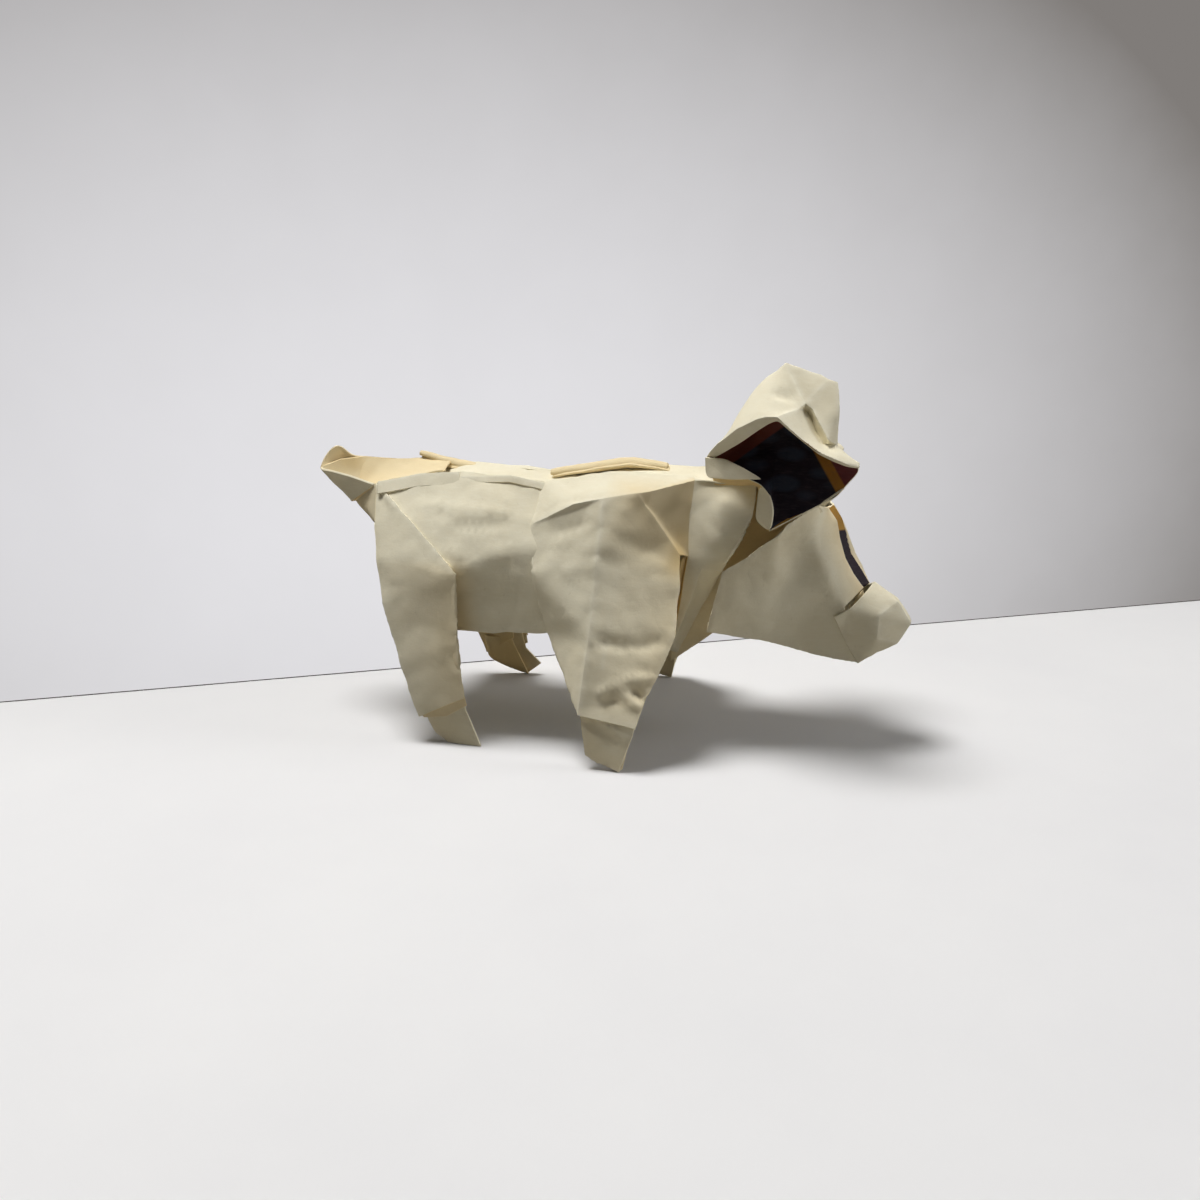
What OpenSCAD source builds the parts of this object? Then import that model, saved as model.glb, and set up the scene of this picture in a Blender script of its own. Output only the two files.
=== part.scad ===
// Origami pig, folded from one sheet of cream paper that is printed on its other side.
// It stands on four hooves and looks along +X. The origin lies on the surface it stands on,
// under the middle of its length. All sizes are in millimetres.

/* [Sheet] */
// Thickness of the paper layers pressed together
sheet = 0.5; // [0.4:0.05:0.7]

/* [Body] */
// Length of the flank from the rump to the shoulder fold
flank_len = 31; // [28:0.5:35]
// Length of the shoulder flap along the back
shoulder_len = 26; // [24:0.5:29]
// Length of the neck in front of the shoulder
neck_len = 11; // [9:0.5:13]
// Height of the long hems of the back above the floor
back_height = 45.2; // [43:0.2:49]
// How far the withers rise above the hems of the back
withers_rise = 1.8; // [1:0.2:3]
// Height of the belly fold above the floor
belly_height = 19.8; // [17:0.2:23]
// Half width of the flank at its middle crease
flank_half = 15.5; // [14:0.5:17]
// Half width between the long hems of the back
spine_half = 5.2; // [4.4:0.2:6]
// Half width of the neck
neck_half = 10.5; // [9.5:0.5:11.5]
// Width of the hem folded down along the back
hem_width = 1.9; // [1.4:0.1:2.6]
// Height of the rolled hems that stand up in the middle of the back
roll_height = 2.4; // [1.8:0.1:3]
// Half width of the slit left open along the belly and the chest
slit_half = 2.6; // [1.4:0.1:3]

/* [Hind legs] */
// Distance from the rump to the front of the knee
thigh_width = 18.3; // [17:0.5:20]
// Height of the knee above the floor
knee_height = 30.5; // [28:0.5:33]
// How far forward the heel of the hind leg is from the rump
hind_reach = 11.8; // [10:0.4:13]
// Width of the shin at its hem
shin_width = 8.4; // [7:0.2:10]
// Height of the hem above the hind hoof
hind_hem_height = 5; // [4:0.2:6.4]
// Half width between the outer faces of the hind hooves
hind_stance = 20; // [18:0.5:22]

/* [Forelegs] */
// How far forward the heel of the foreleg is from the shoulder fold
fore_reach = 10.5; // [9:0.5:12]
// Width of the foreleg at its hem
pastern_width = 9.6; // [8:0.2:11]
// Height of the hem above the fore hoof
fore_hem_height = 9.5; // [8:0.25:11]
// Half width between the outer faces of the fore hooves
fore_stance = 25.5; // [23:0.5:28]

/* [Head] */
// Length of the cheek from its rear fold to the snout's band
cheek_len = 21.4; // [19.5:0.4:23]
// Length of the snout's folded band and its flat end
snout_len = 12.6; // [11:0.4:14]
// Half width of the head at the rear corners of the cheeks
cheek_half = 13; // [12:0.25:14]
// How far the brow lies below the long hems of the back
brow_drop = 2.9; // [1.3:0.1:4.7]
// How far the upper edge of the snout's flat end lies below those hems
nose_drop = 19.8; // [18.2:0.2:21.2]
// How far the rear corner of the jaw lies below those hems
jaw_drop = 24; // [22.2:0.2:25.6]
// Half width of the open seam along the forehead
seam_half = 1.6; // [1.2:0.1:2.2]
// How far the far cheek stands forward of the near one along that seam
seam_step = 2.6; // [1.6:0.2:3.4]

/* [Ears] */
// Length of the ear from its rear corner to its front corner
ear_len = 25; // [22:0.5:28]
// Height of the top of the ear above the brow
ear_rise = 23.6; // [20:0.4:27]
// How far the rim of the ear stands out from its inner wall
ear_cup = 11.5; // [9:0.5:13]

/* [Tail] */
// Length of the tail behind the rump
tail_len = 14; // [12:0.5:16]
// Height of the curled tip above the keel of the tail
tail_curl = 10; // [8:0.5:12]
// Half width of the trough of the tail
tail_half = 3.8; // [3:0.2:4.6]

/* [Hidden] */
cream = [0.93, 0.89, 0.76];
shaded_cream = [0.85, 0.81, 0.69];
golden = [0.93, 0.82, 0.55];

// Each corner of a flap is a small eight-sided bead, which gives the flap its thickness
bead_r = 0.6 * sheet;
sole = bead_r;
// How far one layer stands proud of the layer it is pressed on
lap = 0.9 * sheet;
// Gap between the outer and the inner layer of a leg
leg_gap = 1.2;

shoulder_x = flank_len;
neck_x = shoulder_x + shoulder_len;
poll_x = neck_x + neck_len;
cheek_x = neck_x + 4;
band_x = cheek_x + cheek_len;
nose_x = band_x + snout_len;
middle_x = (nose_x - tail_len) / 2;
withers_z = back_height + withers_rise;
flank_depth = back_height - belly_height;
brow_height = back_height - brow_drop;
nose_height = back_height - nose_drop;
jaw_height = back_height - jaw_drop;

tail_root = [-3.1, 0, back_height - 10.1];

// Fold points of one half, with x counted forward from the rump, y outwards and z up from the floor
hip = [0, spine_half + 1.8, back_height - 1.4];
knee = [thigh_width, flank_half + 2.5, knee_height];
hind_heel = [hind_reach, hind_stance, hind_hem_height];
hind_pastern = hind_heel + [shin_width, 0, 3.9];
back_step = [flank_len / 2, spine_half, back_height + 0.7];
shoulder_top = [shoulder_x + 0.3, spine_half + 1.2, back_height - 0.6];
withers = [shoulder_x + 0.44 * shoulder_len, spine_half, withers_z];
withers_front = [neck_x, spine_half, withers_z - 0.4];
shoulder_point = [shoulder_x + 0.475 * shoulder_len, flank_half - 1.5, withers_z - 3.2];
shoulder_front = [shoulder_x + 0.7 * shoulder_len, flank_half - 2, withers_z - 2.3];
elbow_front = [neck_x - 0.6, flank_half - 2, withers_z - 12.3];
fore_heel = [shoulder_x + fore_reach, fore_stance, fore_hem_height];
fore_pastern = fore_heel + [pastern_width, 0, -2];
neck_top = [neck_x + 0.6, spine_half + 2, withers_z - 0.7];
neck_foot = [neck_x + 0.3, neck_half, withers_z - 13.2];
poll = [poll_x, spine_half + 1.6, back_height + 0.9];
neck_front = [poll_x - 0.1, neck_half - 1, back_height - 4.3];
neck_edge = [poll_x - 1.9, neck_half - 0.4, back_height - 8.6];
throat = [neck_x + 6, neck_half - 1, withers_z - 15.8];
chest_rear = [neck_x - 2.3, neck_half - 0.6, belly_height - 1.4];
chest_tip = [neck_x - 2.3, slit_half + 0.8, belly_height - 5.2];
brow = [band_x - 3.2, 5.5, brow_height];
crown = [poll_x + 5, spine_half + 2, back_height - 0.4];
jaw_corner = [cheek_x, cheek_half - 1.5, jaw_height];
cheek_corner = [cheek_x + 2.7, cheek_half - 0.3, jaw_height + 10.8];
cheek_edge = [for (p = [[0, 0, 0], [6, -0.9, 4.3], [10.2, -2.4, 7.1], [13, -4, 8.6]]) cheek_corner + p];
chin = [band_x + 3.9, 1.6, jaw_height - 6.9];
nose_top = [nose_x - 2.8, 1.6, nose_height];
nose_tip = [nose_x - bead_r, 1.5, nose_height - 3.6];
nose_base = [nose_x - 2.4, 1.5, nose_height - 7.4];

// Point a share t of the way from a to b
function mix(a, b, t) = a + (b - a) * t;
// Point p moved outwards by one lap of paper, or inwards for n = -1
function lapped(p, n = 1) = p + [0, n * lap, 0];
// Point p on the near side for n = -1 and on the far side for n = 1
function side(p, n) = [p.x, n * p.y, p.z];
// Point p brought in to the middle plane and lowered by drop
function middle(p, drop = 0) = [p.x, 0, p.z - drop];

// Rear fold of the hind leg, a share t of the way down; it bows outwards
function hind_rear(t) = mix(hip, hind_heel, t) + sin(180 * t) * [-1.2, 3.4, 0];
// Ridge of the thigh, a share t of the way from the hip to the knee
function ridge(t) = mix(hip, knee, t) + sin(180 * t) * [0.2, 0.4, 0.6];
// Front fold of the foreleg, a share t of the way from the elbow to the hem
function fore_front(t) = mix(elbow_front, fore_pastern, t) + sin(180 * min(1, t * 1.1)) * [2.4, 0, 0];
// Middle crease of the foreleg, a share t of the way from the shoulder point to the hem
function fore_crease(t) = mix(shoulder_point, fore_heel, t) + sin(180 * t) * [0.6, 0.6, 0.4];
// Line where the shoulder flap lies on the flank, a share t of the way down
function shoulder_fold(t) = [
    shoulder_x + 0.3 - 1.1 * sin(180 * min(1, t * 1.4)) + 2.9 * t * t,
    shoulder_top.y + (flank_half - shoulder_top.y) * min(1, 2.3 * t),
    shoulder_top.z - (shoulder_top.z - belly_height - 0.6) * t];

module bead() {
    tips = [for (s = [-1, 1], axis = [0:2]) [for (i = [0:2]) i == axis ? s * bead_r : 0]];
    polyhedron(tips, [[0, 1, 2], [3, 5, 4], [0, 2, 4], [0, 4, 5],
        [0, 5, 1], [3, 1, 5], [3, 4, 2], [3, 2, 1]]);
}

// Flat piece of the sheet between its fold points
module facet(corners) {
    hull() {
        for (p = corners) {
            translate(p) bead();
        }
    }
}

// Creased flap: rows of fold points, joined row to row by flat triangles.
// With turned = true the short creases run the other way across each cell.
module flap(rows, turned = false) {
    for (i = [0:len(rows) - 2], j = [0:len(rows[0]) - 2]) {
        a = rows[i][j];
        b = rows[i][j + 1];
        c = rows[i + 1][j];
        d = rows[i + 1][j + 1];
        facet(turned ? [a, b, d] : [a, b, c]);
        facet(turned ? [a, c, d] : [b, c, d]);
    }
}

// Flap whose triangles all meet in one point, along an open edge
module fan(point, edge) {
    for (i = [0:len(edge) - 2]) {
        facet([point, edge[i], edge[i + 1]]);
    }
}

module both_sides() {
    children();
    mirror([0, 1, 0]) children();
}

// Side of the barrel down to the belly fold, creased twice along its length. The belly is folded in
// under it as far as the slit in the middle, and a hidden part runs back to the rump inside the thigh.
module flank() {
    middle_flank_x = (thigh_width + flank_len) / 2;
    upper_crease = [ridge(0.5), [thigh_width + 1, flank_half - 3, back_height - 6], shoulder_fold(0.26)];
    middle_crease = [ridge(0.83), [middle_flank_x, flank_half, back_height - 11.5], shoulder_fold(0.4)];
    belly_fold = [[thigh_width - 0.5, flank_half, belly_height - 0.4],
        [middle_flank_x, flank_half, belly_height], shoulder_fold(1)];
    belly_slit = [for (p = belly_fold) [p.x, slit_half, p.z - 0.8]];
    hidden = [for (t = [0.29, 0.53, 0.98])
        [1 + 5 * t, flank_half - 6.5 + 5 * t, back_height - flank_depth * t]];
    rump_slit = [for (t = [0, 0.3, 0.6, 1]) mix(tail_root, [6, 0, belly_height], t) + [0, slit_half, 0]];
    color(cream) {
        flap([[hip, back_step, shoulder_top], upper_crease, middle_crease, belly_fold, belly_slit]);
        fan(hidden[1], [ridge(0.5), ridge(0.83), belly_fold[0], hidden[2]]);
        flap([[belly_fold[0], hidden[2]], [belly_slit[0], rump_slit[3]]]);
        // Rump between the hind legs, below the root of the tail
        flap([[hind_rear(0.17), hind_rear(0.33), hidden[1], hidden[2]], rump_slit]);
    }
}

// Inner layer that joins the long hems across the back, with a shallow valley along the middle
module spine() {
    hems = [hip, back_step, shoulder_top, withers, withers_front, neck_top, poll];
    color(cream) flap([hems, [for (p = hems) middle(p, 1)]]);
}

// Hem folded down along the outside of the back, in two lengths with a step between them
module back_hem() {
    rear = [for (p = [hip + [0.5, 0, 0.4], mix(hip, back_step, 0.5) + [0, -0.6, 0.6], back_step]) lapped(p)];
    front = [for (p = [back_step + [0.4, 0.2, -0.7], mix(back_step, shoulder_top, 0.6) + [0, -0.3, 0.4],
        shoulder_top]) lapped(p)];
    color(cream) {
        flap([rear, [for (p = rear) p + [0.4, 0.7 * hem_width, -hem_width]]]);
        flap([front, [for (p = front) p + [0, 0.35 * hem_width, -hem_width / 2]]]);
    }
}

// Hind leg: an outer layer folded round the rump's edge over an inner one, with a ridge down to the knee
module hind_leg() {
    shin = [mix(knee, hind_pastern, 0.5) - [0.5, 0, 0], hind_pastern];
    rear = [for (t = [0.17, 0.33, 0.5, 0.76, 1]) hind_rear(t)];
    inward = [0, leg_gap, 0];
    inner_rear = [rear[2] - inward, rear[3] - inward, rear[4] - inward / 2];
    inner_front = [for (p = [knee, shin[0], shin[1]]) p - 2 * inward - [2.2, 0, 0]];
    color(cream) {
        fan(ridge(0.5), [hip, rear[0], rear[1], ridge(0.83)]);
        facet([rear[1], ridge(0.83), knee]);
        flap([[rear[1], knee], [rear[2], knee], [rear[3], shin[0]], [rear[4], shin[1]]], true);
    }
    color(shaded_cream) {
        flap([inner_rear, inner_front]);
        flap([[for (i = [2:4]) rear[i]], inner_rear]);
    }
    hind_hoof();
}

// Hoof of the hind leg: it comes out from under the hem and is turned forward to a point
module hind_hoof() {
    heel = lapped(hind_heel + [1.4, 0, -0.8], -1);
    pastern = mix(hind_pastern, knee, 0.12) - [1, 0, 0];
    ground = [hind_heel.x + 4.6, hind_stance - 1, sole];
    color(cream) {
        flap([[lapped(mix(hind_rear(0.76), hind_heel, 0.6) + [1.4, 0, 0], -1.1), lapped(pastern, -1.1)],
            [heel, lapped(hind_pastern + [-0.2, 0, -2.6], -1)],
            [ground, [hind_heel.x + 10.8, hind_stance - 0.3, sole]]]);
        facet([heel, mix(heel, ground, 0.6) - [0.9, 0, 0], ground]);
    }
}

// Foreleg with its shoulder: a bright flap on top, then a broad one down to the hem with a crease
// down its middle, folded back inside along its front edge
module foreleg() {
    bend = mix(shoulder_fold(0.26), shoulder_point, 0.6) + [0, 0.6, 1];
    crease = [for (t = [0, 0.3, 0.65, 1]) fore_crease(t)];
    rear = [shoulder_fold(0.26), shoulder_fold(0.55), shoulder_fold(1),
        mix(shoulder_fold(1), fore_heel, 0.5) + [-0.3, -1, 0]];
    front = [for (t = [0, 0.2, 0.45, 0.7, 0.85, 1]) fore_front(t)];
    inward = [0, 2 * leg_gap, 0];
    color(cream) {
        flap([[shoulder_top, mix(shoulder_top, withers, 0.35), withers, withers_front, neck_top],
            [rear[0], bend, shoulder_point, shoulder_front, neck_top]], true);
        facet([rear[0], bend, crease[0]]);
        flap([rear, crease], true);
        facet([rear[3], crease[3], fore_heel]);
        fan(crease[1], [shoulder_point, shoulder_front, front[0], front[1]]);
        flap([[crease[1], front[1]], [crease[2], front[2]], [crease[3], front[3]], [crease[3], front[4]],
            [fore_heel, front[5]]], true);
        // Narrow triangle turned in towards the neck
        fan(shoulder_front, [neck_top, neck_foot, elbow_front]);
    }
    color(shaded_cream) {
        flap([[for (i = [1:4]) front[i]], [for (i = [1:4]) front[i] - inward - [1, 0, 0]],
            [for (t = [0.3, 0.5, 0.75, 0.9]) fore_crease(t) - inward]]);
    }
    fore_hoof();
}

// Hoof of the foreleg: a wedge that comes out from under the hem and down to one point
module fore_hoof() {
    front = lapped(fore_pastern - [0.5, 0, 1.4], -0.9);
    heel = [for (p = [[0.2, 0, -0.05], [1.4, 0, -0.74], [3.2, 0.2, -0.87]])
        lapped(fore_heel + [p.x, p.y, p.z * fore_hem_height], -0.9)];
    color(cream) {
        flap([[lapped(mix(fore_heel, fore_crease(0.65), 0.15), -1.1),
            lapped(mix(fore_pastern, fore_front(0.7), 0.2) - [0.6, 0, 0], -1.1)],
            [heel[0], front]]);
        fan(front, [heel[0], heel[1], heel[2], [fore_heel.x + 6.9, fore_stance + 0.3, sole]]);
    }
}

// Neck: a rounded panel in front of the shoulder. The chest is folded to a point under it and meets
// the belly, with a narrow channel between it and the foreleg.
module neck() {
    foot = [neck_foot, [neck_x + 2.8, neck_half, withers_z - 15.1], throat];
    color(cream) {
        flap([[neck_top, [neck_x + 2.7, spine_half + 1.4, withers_z - 1.1], poll],
            [[neck_x, neck_half - 1.6, withers_z - 6], [neck_x + 6, neck_half, withers_z - 7], neck_front],
            foot]);
        facet([neck_front, throat, neck_edge]);
        fan(chest_tip, [chest_rear, foot[1], throat, [neck_x + 4.5, slit_half, withers_z - 17]]);
        facet([neck_foot, foot[1], chest_rear]);
        flap([[shoulder_fold(1), chest_rear],
            [[shoulder_x + 3.2, slit_half, belly_height - 0.8], chest_tip]]);
    }
    color(golden) {
        flap([[neck_foot, chest_rear], [neck_foot - [0.4, 1, 0], chest_rear - [0.6, 1, 0]],
            [elbow_front - [0, 2, 1], mix(elbow_front, fore_pastern, 0.5) - [0, 3, 0]]]);
    }
}

// Half of the head: one large cheek with a soft brow, its rear edge folded in as a narrow strip.
// Along the forehead it ends at the open seam, lined by the layer below; step moves that edge forward.
module cheek(step) {
    jaw = [jaw_corner, [cheek_x + 0.4 * cheek_len, cheek_half - 5.3, jaw_height - 2.2],
        [cheek_x + 0.8 * cheek_len, 4.2, jaw_height - 5.1], chin];
    soft = [for (p = [[-0.7, 2.5, -4], [1.8, 1.9, -8.6], [3.2, 1.1, -13], [4.2, 0.3, -16.9]]) brow + p];
    seam = [for (p = [[1.2, -0.8, 0.3], [2.3, -3.8, 0.8], [3.4, -9.2, 1], [5.1, -12.3, 0.8], [7.1, -15.5, 0]])
        [brow.x + p.x + step * p.z, seam_half, brow.z + p.y]];
    strip = [for (p = [cheek_corner, jaw_corner]) p - [0.5, 0.4, 0]];
    color(cream) {
        fan(jaw[1], [jaw[0], cheek_edge[1], cheek_edge[2], soft[0], soft[1]]);
        facet([jaw[0], cheek_edge[0], cheek_edge[1]]);
        fan(soft[0], [cheek_edge[2], cheek_edge[3], brow, seam[0], seam[1], seam[2]]);
        fan(jaw[2], [jaw[1], soft[1], soft[2], soft[3], jaw[3]]);
        flap([[soft[0], soft[1], soft[2], soft[3]], [seam[2], seam[2], seam[3], seam[4]]], true);
        flap([[cheek_corner, jaw_corner], strip, [for (p = strip) p + [1.6, -1.4, 0]]]);
    }
    color(golden) flap([seam, [for (p = seam) middle(p, 1) - [1.6, 0, 0]]]);
}

// Snout: a band folded round the front of the cheeks, closed by a flat end
module snout() {
    corner = lapped([band_x - 0.4, 5.8, nose_height - 1.8]);
    edge = [corner, corner + [2.5, -0.5, 1.4], corner + [4.4, -3, 3]];
    bevel = [nose_top + [-2.9, 2.9, -1.7], nose_tip + [-5.5, 3, -2.1]];
    top = [nose_top.x - 4, 0, nose_top.z + 2.9];
    color(cream) {
        fan(lapped(chin), [edge[0], edge[1], bevel[1], nose_base]);
        fan(bevel[0], [bevel[1], edge[1], edge[2], nose_top, nose_tip, bevel[1]]);
        facet([bevel[1], nose_tip, nose_base]);
        fan(nose_top, [edge[2], top, middle(nose_top)]);
        flap([[nose_top, nose_tip, nose_base, chin],
            [middle(nose_top), middle(nose_tip), middle(nose_base), middle(chin, -0.8)]]);
    }
}

// Layers that run from the neck into the head, across the crown and inside the cheeks
module crown_layers() {
    color(cream) flap([[poll, crown, brow], [for (p = [poll, crown, brow]) middle(p, 1)]]);
    color(shaded_cream) {
        flap([[poll, cheek_edge[3]], [neck_front, cheek_edge[2]]]);
        fan(throat, [cheek_corner - [0, 1, 0], cheek_edge[1], neck_edge]);
    }
}

// Ear: one cupped flap that rises from the crown, turns outwards and comes down to its open rim.
// Its front corner reaches a share of its length forward, 1 on the near ear and less on the far one.
module ear(reach) {
    root = [cheek_x - 1, neck_half - 1, brow_height];
    function at(x, out, up) = root + [x * ear_len, out * ear_cup, up * ear_rise];
    // Each station runs from the base up the inner wall, over the top and down to the rim, as shares
    // of the ear's length, cup and rise
    stations = [
        [at(0, 0, 0.2), at(0, 0, 0.27), at(0, 0, 0.33), at(0, 0.05, 0.36), at(0, 0.1, 0.37)],
        [at(0.17, 0.05, 0.2), at(0.16, -0.2, 0.38), at(0.13, -0.1, 0.57),
            at(0.16, 0.15, 0.6), at(0.22, 0.38, 0.49)],
        [at(0.34, 0.15, 0.12), at(0.3, -0.25, 0.46), at(0.2, -0.22, 0.78),
            at(0.25, 0.2, 0.8), at(0.35, 0.57, 0.6)],
        [at(0.4, 0.2, -0.02), at(0.4, -0.27, 0.46), at(0.31, -0.27, 0.92),
            at(0.37, 0.25, 0.9), at(0.42, 0.66, 0.65)],
        [at(0.43, 0.22, -0.14), at(0.48, -0.25, 0.42), at(0.47, -0.28, 1),
            at(0.5, 0.25, 0.93), at(0.48, 0.7, 0.69)],
        [at(0.6, 0.18, -0.03), at(0.63, -0.25, 0.5), at(0.64, -0.28, 0.98),
            at(0.62, 0.25, 0.76), at(0.62, 0.66, 0.6)],
        [at(0.76, 0.1, 0.1), at(0.78, -0.22, 0.54), at(0.81, -0.2, 0.91),
            at(0.8, 0.15, 0.67), at(0.76, 0.6, 0.48)],
        [at(0.82, 0.08, 0.13), at(0.83, -0.1, 0.33), at(0.82, -0.1, 0.51),
            at(0.85, 0.2, 0.46), at(0.87, 0.48, 0.41)],
        [at(0.9, 0.05, 0.18), at(0.94, 0, 0.24), at(reach - 0.04, 0, 0.36),
            at(reach - 0.01, 0.15, 0.385), at(reach, 0.29, 0.34)]];
    color(cream) {
        flap(stations);
        flap([[for (i = [0, 1, 2, 4]) stations[i][0]],
            [poll - [7, 0, 0.4], poll - [4, 0, 0.3], poll, mix(poll, crown, 0.4)]]);
        flap([[for (i = [4, 5, 6, 8]) stations[i][0]],
            [mix(poll, crown, 0.4), crown, brow + [-1, 0, 0.2], brow]]);
        // Lens-shaped fold under the rear corner, and the turned edge in front of it
        fan(stations[0][0], [stations[0][4], at(0.22, 0.24, 0.33), at(0.36, 0.24, 0.25)]);
        fan(at(0.33, 0.1, 0.17), [at(0.4, 0.2, 0.11), at(0.44, 0.24, 0.02), at(0.43, 0.28, -0.1)]);
    }
}

// Tail: an open trough whose far wall is the taller one and curls over at the tip
module tail() {
    tip = [bead_r - tail_len, 0, back_height - 0.3];
    keel = [[-0.78 * tail_len, 0, tip.z - 2.9], [-0.56 * tail_len, 0, tip.z - 5.8]];
    near_wall = [[-0.89 * tail_len, -0.4 * tail_half, tip.z - 0.1],
        [-0.46 * tail_len, -tail_half, tip.z - 0.5], side(hip, -1) + [-0.5, 0.2, -0.2]];
    far_wall = [[-0.75 * tail_len, 0.5 * tail_half, tip.z + 1.4],
        [-0.48 * tail_len, tail_half + 0.6, tip.z + 1.5], side(hip, 1) + [1.5, -1.8, 2.2]];
    root = [keel[1] + [0.8, 0, 0], tail_root];
    curl = [tip, tip + [0.4, 1, 0.19 * tail_curl], tip + [2.2, 2, 0.42 * tail_curl],
        tip + [3.2, 2.6, 0.38 * tail_curl], tip + [4.6, 3.2, 0.2 * tail_curl], far_wall[1]];
    hollow = tip + [3.4, 4, 0.3];
    color(cream) {
        for (wall = [near_wall, far_wall]) {
            fan(keel[0], [tip, wall[0], wall[1], keel[1]]);
            facet([keel[1], wall[1], wall[2]]);
        }
        fan(hollow, [tip, far_wall[0], far_wall[1]]);
        fan(hollow, curl);
    }
    // Root of the tail, tucked up inside the trough
    color(golden) {
        facet([keel[1], far_wall[2], side(hip, 1)]);
        facet([root[0], keel[1], mix(side(hip, -1), near_wall[2], 0.3)]);
        for (n = [-1, 1]) {
            fan(root[0], [root[1], side(hind_rear(0.17), n), side(hip, n)]);
        }
    }
}

// Hems rolled up in the middle of the back: a standing tab on the far side and a fold over the withers
module back_rolls() {
    // Share of the flank's or the shoulder's length, distance in from the far hem, height above it
    tab = [[0.14, 0.2, roll_height], [0.39, 0.2, 1.2], [0.64, 0.6, -0.3], [0.98, 1.2, -1.2]];
    fold = [[-0.03, 2.2, 0.3], [0.27, 2.2, 2.2],
        [0.51, 2.2, withers_rise + 1.4], [0.78, 2.2, withers_rise + 0.4]];
    tab_top = [for (p = tab) [p.x * flank_len, spine_half - p.y, back_height + p.z]];
    fold_top = [for (p = fold) [shoulder_x + p.x * shoulder_len, spine_half - p.y, back_height + p.z]];
    color(golden) {
        flap([[for (p = tab_top) p - [0, 1.2, 2.2]], tab_top, [for (p = tab_top) p + [0.4, 1.1, -1.2]]]);
        flap([[for (p = fold_top) p - [0, 2, 2]], fold_top, [for (p = fold_top) p + [0, 1, -2]]]);
    }
}

module folded_sheet() {
    both_sides() {
        flank();
        spine();
        back_hem();
        hind_leg();
        foreleg();
        neck();
        snout();
        crown_layers();
    }
    mirror([0, 1, 0]) {
        cheek(0);
        ear(1);
    }
    cheek(seam_step);
    ear(0.9);
    tail();
    back_rolls();
}

union() {
    translate([-middle_x, 0, 0]) folded_sheet();
}
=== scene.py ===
# Looks of the origami pig: one folded sheet of cream paper, printed on its other side.
# All shapes are worked out in millimetres, with x counted forward from the rump, y outwards from the
# middle plane and z up from the floor, and are moved into the part's own frame in metres at the end.
import math

import bpy
import numpy as np
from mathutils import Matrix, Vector


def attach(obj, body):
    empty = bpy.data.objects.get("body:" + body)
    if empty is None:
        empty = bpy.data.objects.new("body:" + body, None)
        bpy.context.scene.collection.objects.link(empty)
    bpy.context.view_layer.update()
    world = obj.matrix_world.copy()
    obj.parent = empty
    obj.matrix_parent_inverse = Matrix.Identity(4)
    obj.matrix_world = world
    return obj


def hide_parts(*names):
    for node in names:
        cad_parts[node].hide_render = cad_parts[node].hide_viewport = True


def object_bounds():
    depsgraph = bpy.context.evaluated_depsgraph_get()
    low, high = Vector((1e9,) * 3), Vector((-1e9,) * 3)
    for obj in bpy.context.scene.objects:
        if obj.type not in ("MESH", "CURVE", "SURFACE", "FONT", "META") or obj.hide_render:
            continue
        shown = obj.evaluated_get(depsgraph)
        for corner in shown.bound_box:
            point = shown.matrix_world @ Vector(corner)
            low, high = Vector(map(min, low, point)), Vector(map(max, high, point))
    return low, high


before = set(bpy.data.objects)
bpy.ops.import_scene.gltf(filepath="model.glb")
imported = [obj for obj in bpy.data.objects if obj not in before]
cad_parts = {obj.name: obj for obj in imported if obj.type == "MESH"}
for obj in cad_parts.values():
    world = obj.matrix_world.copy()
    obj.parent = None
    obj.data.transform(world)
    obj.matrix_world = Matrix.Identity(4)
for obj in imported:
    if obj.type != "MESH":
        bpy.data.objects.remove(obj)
cad_low, cad_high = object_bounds()
NODE = "folded_sheet"
MM = 0.001

# Sizes of the folded model, in millimetres; they are the same as in the part's source
flank_len, shoulder_len, neck_len = 31.0, 26.0, 11.0
back_height, withers_rise, belly_height = 45.2, 1.8, 19.8
flank_half, spine_half, neck_half = 15.5, 5.2, 10.5
hem_width, roll_height, slit_half = 1.9, 2.4, 2.6
thigh_width, knee_height, hind_reach = 18.3, 30.5, 11.8
shin_width, hind_hem_height, hind_stance = 8.4, 5.0, 20.0
fore_reach, pastern_width, fore_hem_height, fore_stance = 10.5, 9.6, 9.5, 25.5
cheek_len, snout_len, cheek_half = 21.4, 12.6, 13.0
brow_drop, nose_drop, jaw_drop, seam_half, seam_step = 2.9, 19.8, 24.0, 1.6, 2.6
ear_len, ear_rise, ear_cup = 25.0, 23.6, 11.5
tail_len, tail_curl, tail_half = 14.0, 10.0, 3.8

shoulder_x = flank_len
neck_x = shoulder_x + shoulder_len
poll_x = neck_x + neck_len
cheek_x = neck_x + 4
band_x = cheek_x + cheek_len
nose_x = band_x + snout_len
middle_x = (nose_x - tail_len) / 2
withers_z = back_height + withers_rise
flank_depth = back_height - belly_height
brow_height = back_height - brow_drop
nose_height = back_height - nose_drop
jaw_height = back_height - jaw_drop

# Thickness of the sheet as it shows at its edges, and the lap of one layer on another
PAPER = 0.34
LAP = 0.42
SOLE = PAPER / 2
LEG_GAP = 1.2
FLOOR_GAP = 0.01
# Edge lengths of the fine mesh: at a crease, and on open paper
FINE, COARSE, FINE_BAND = 0.76, 1.75, 0.5
HIDDEN = {"fine": 1.2, "coarse": 2.4}
# How much longer an edge may be for each millimetre between it and the nearest crease
COARSEN = 0.6
# A rim needs no mesh as fine as a crease does
RIM_EASE = 0.6
# The most rounds of splitting, and of spreading a split to the triangles beside it
SPLIT_ROUNDS, SPREAD_ROUNDS = 14, 20
FAR, TINY = 1e9, 1e-12
# Fold points are one point if they are the same to this share of a millimetre
WELD = 1 / 500
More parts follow.
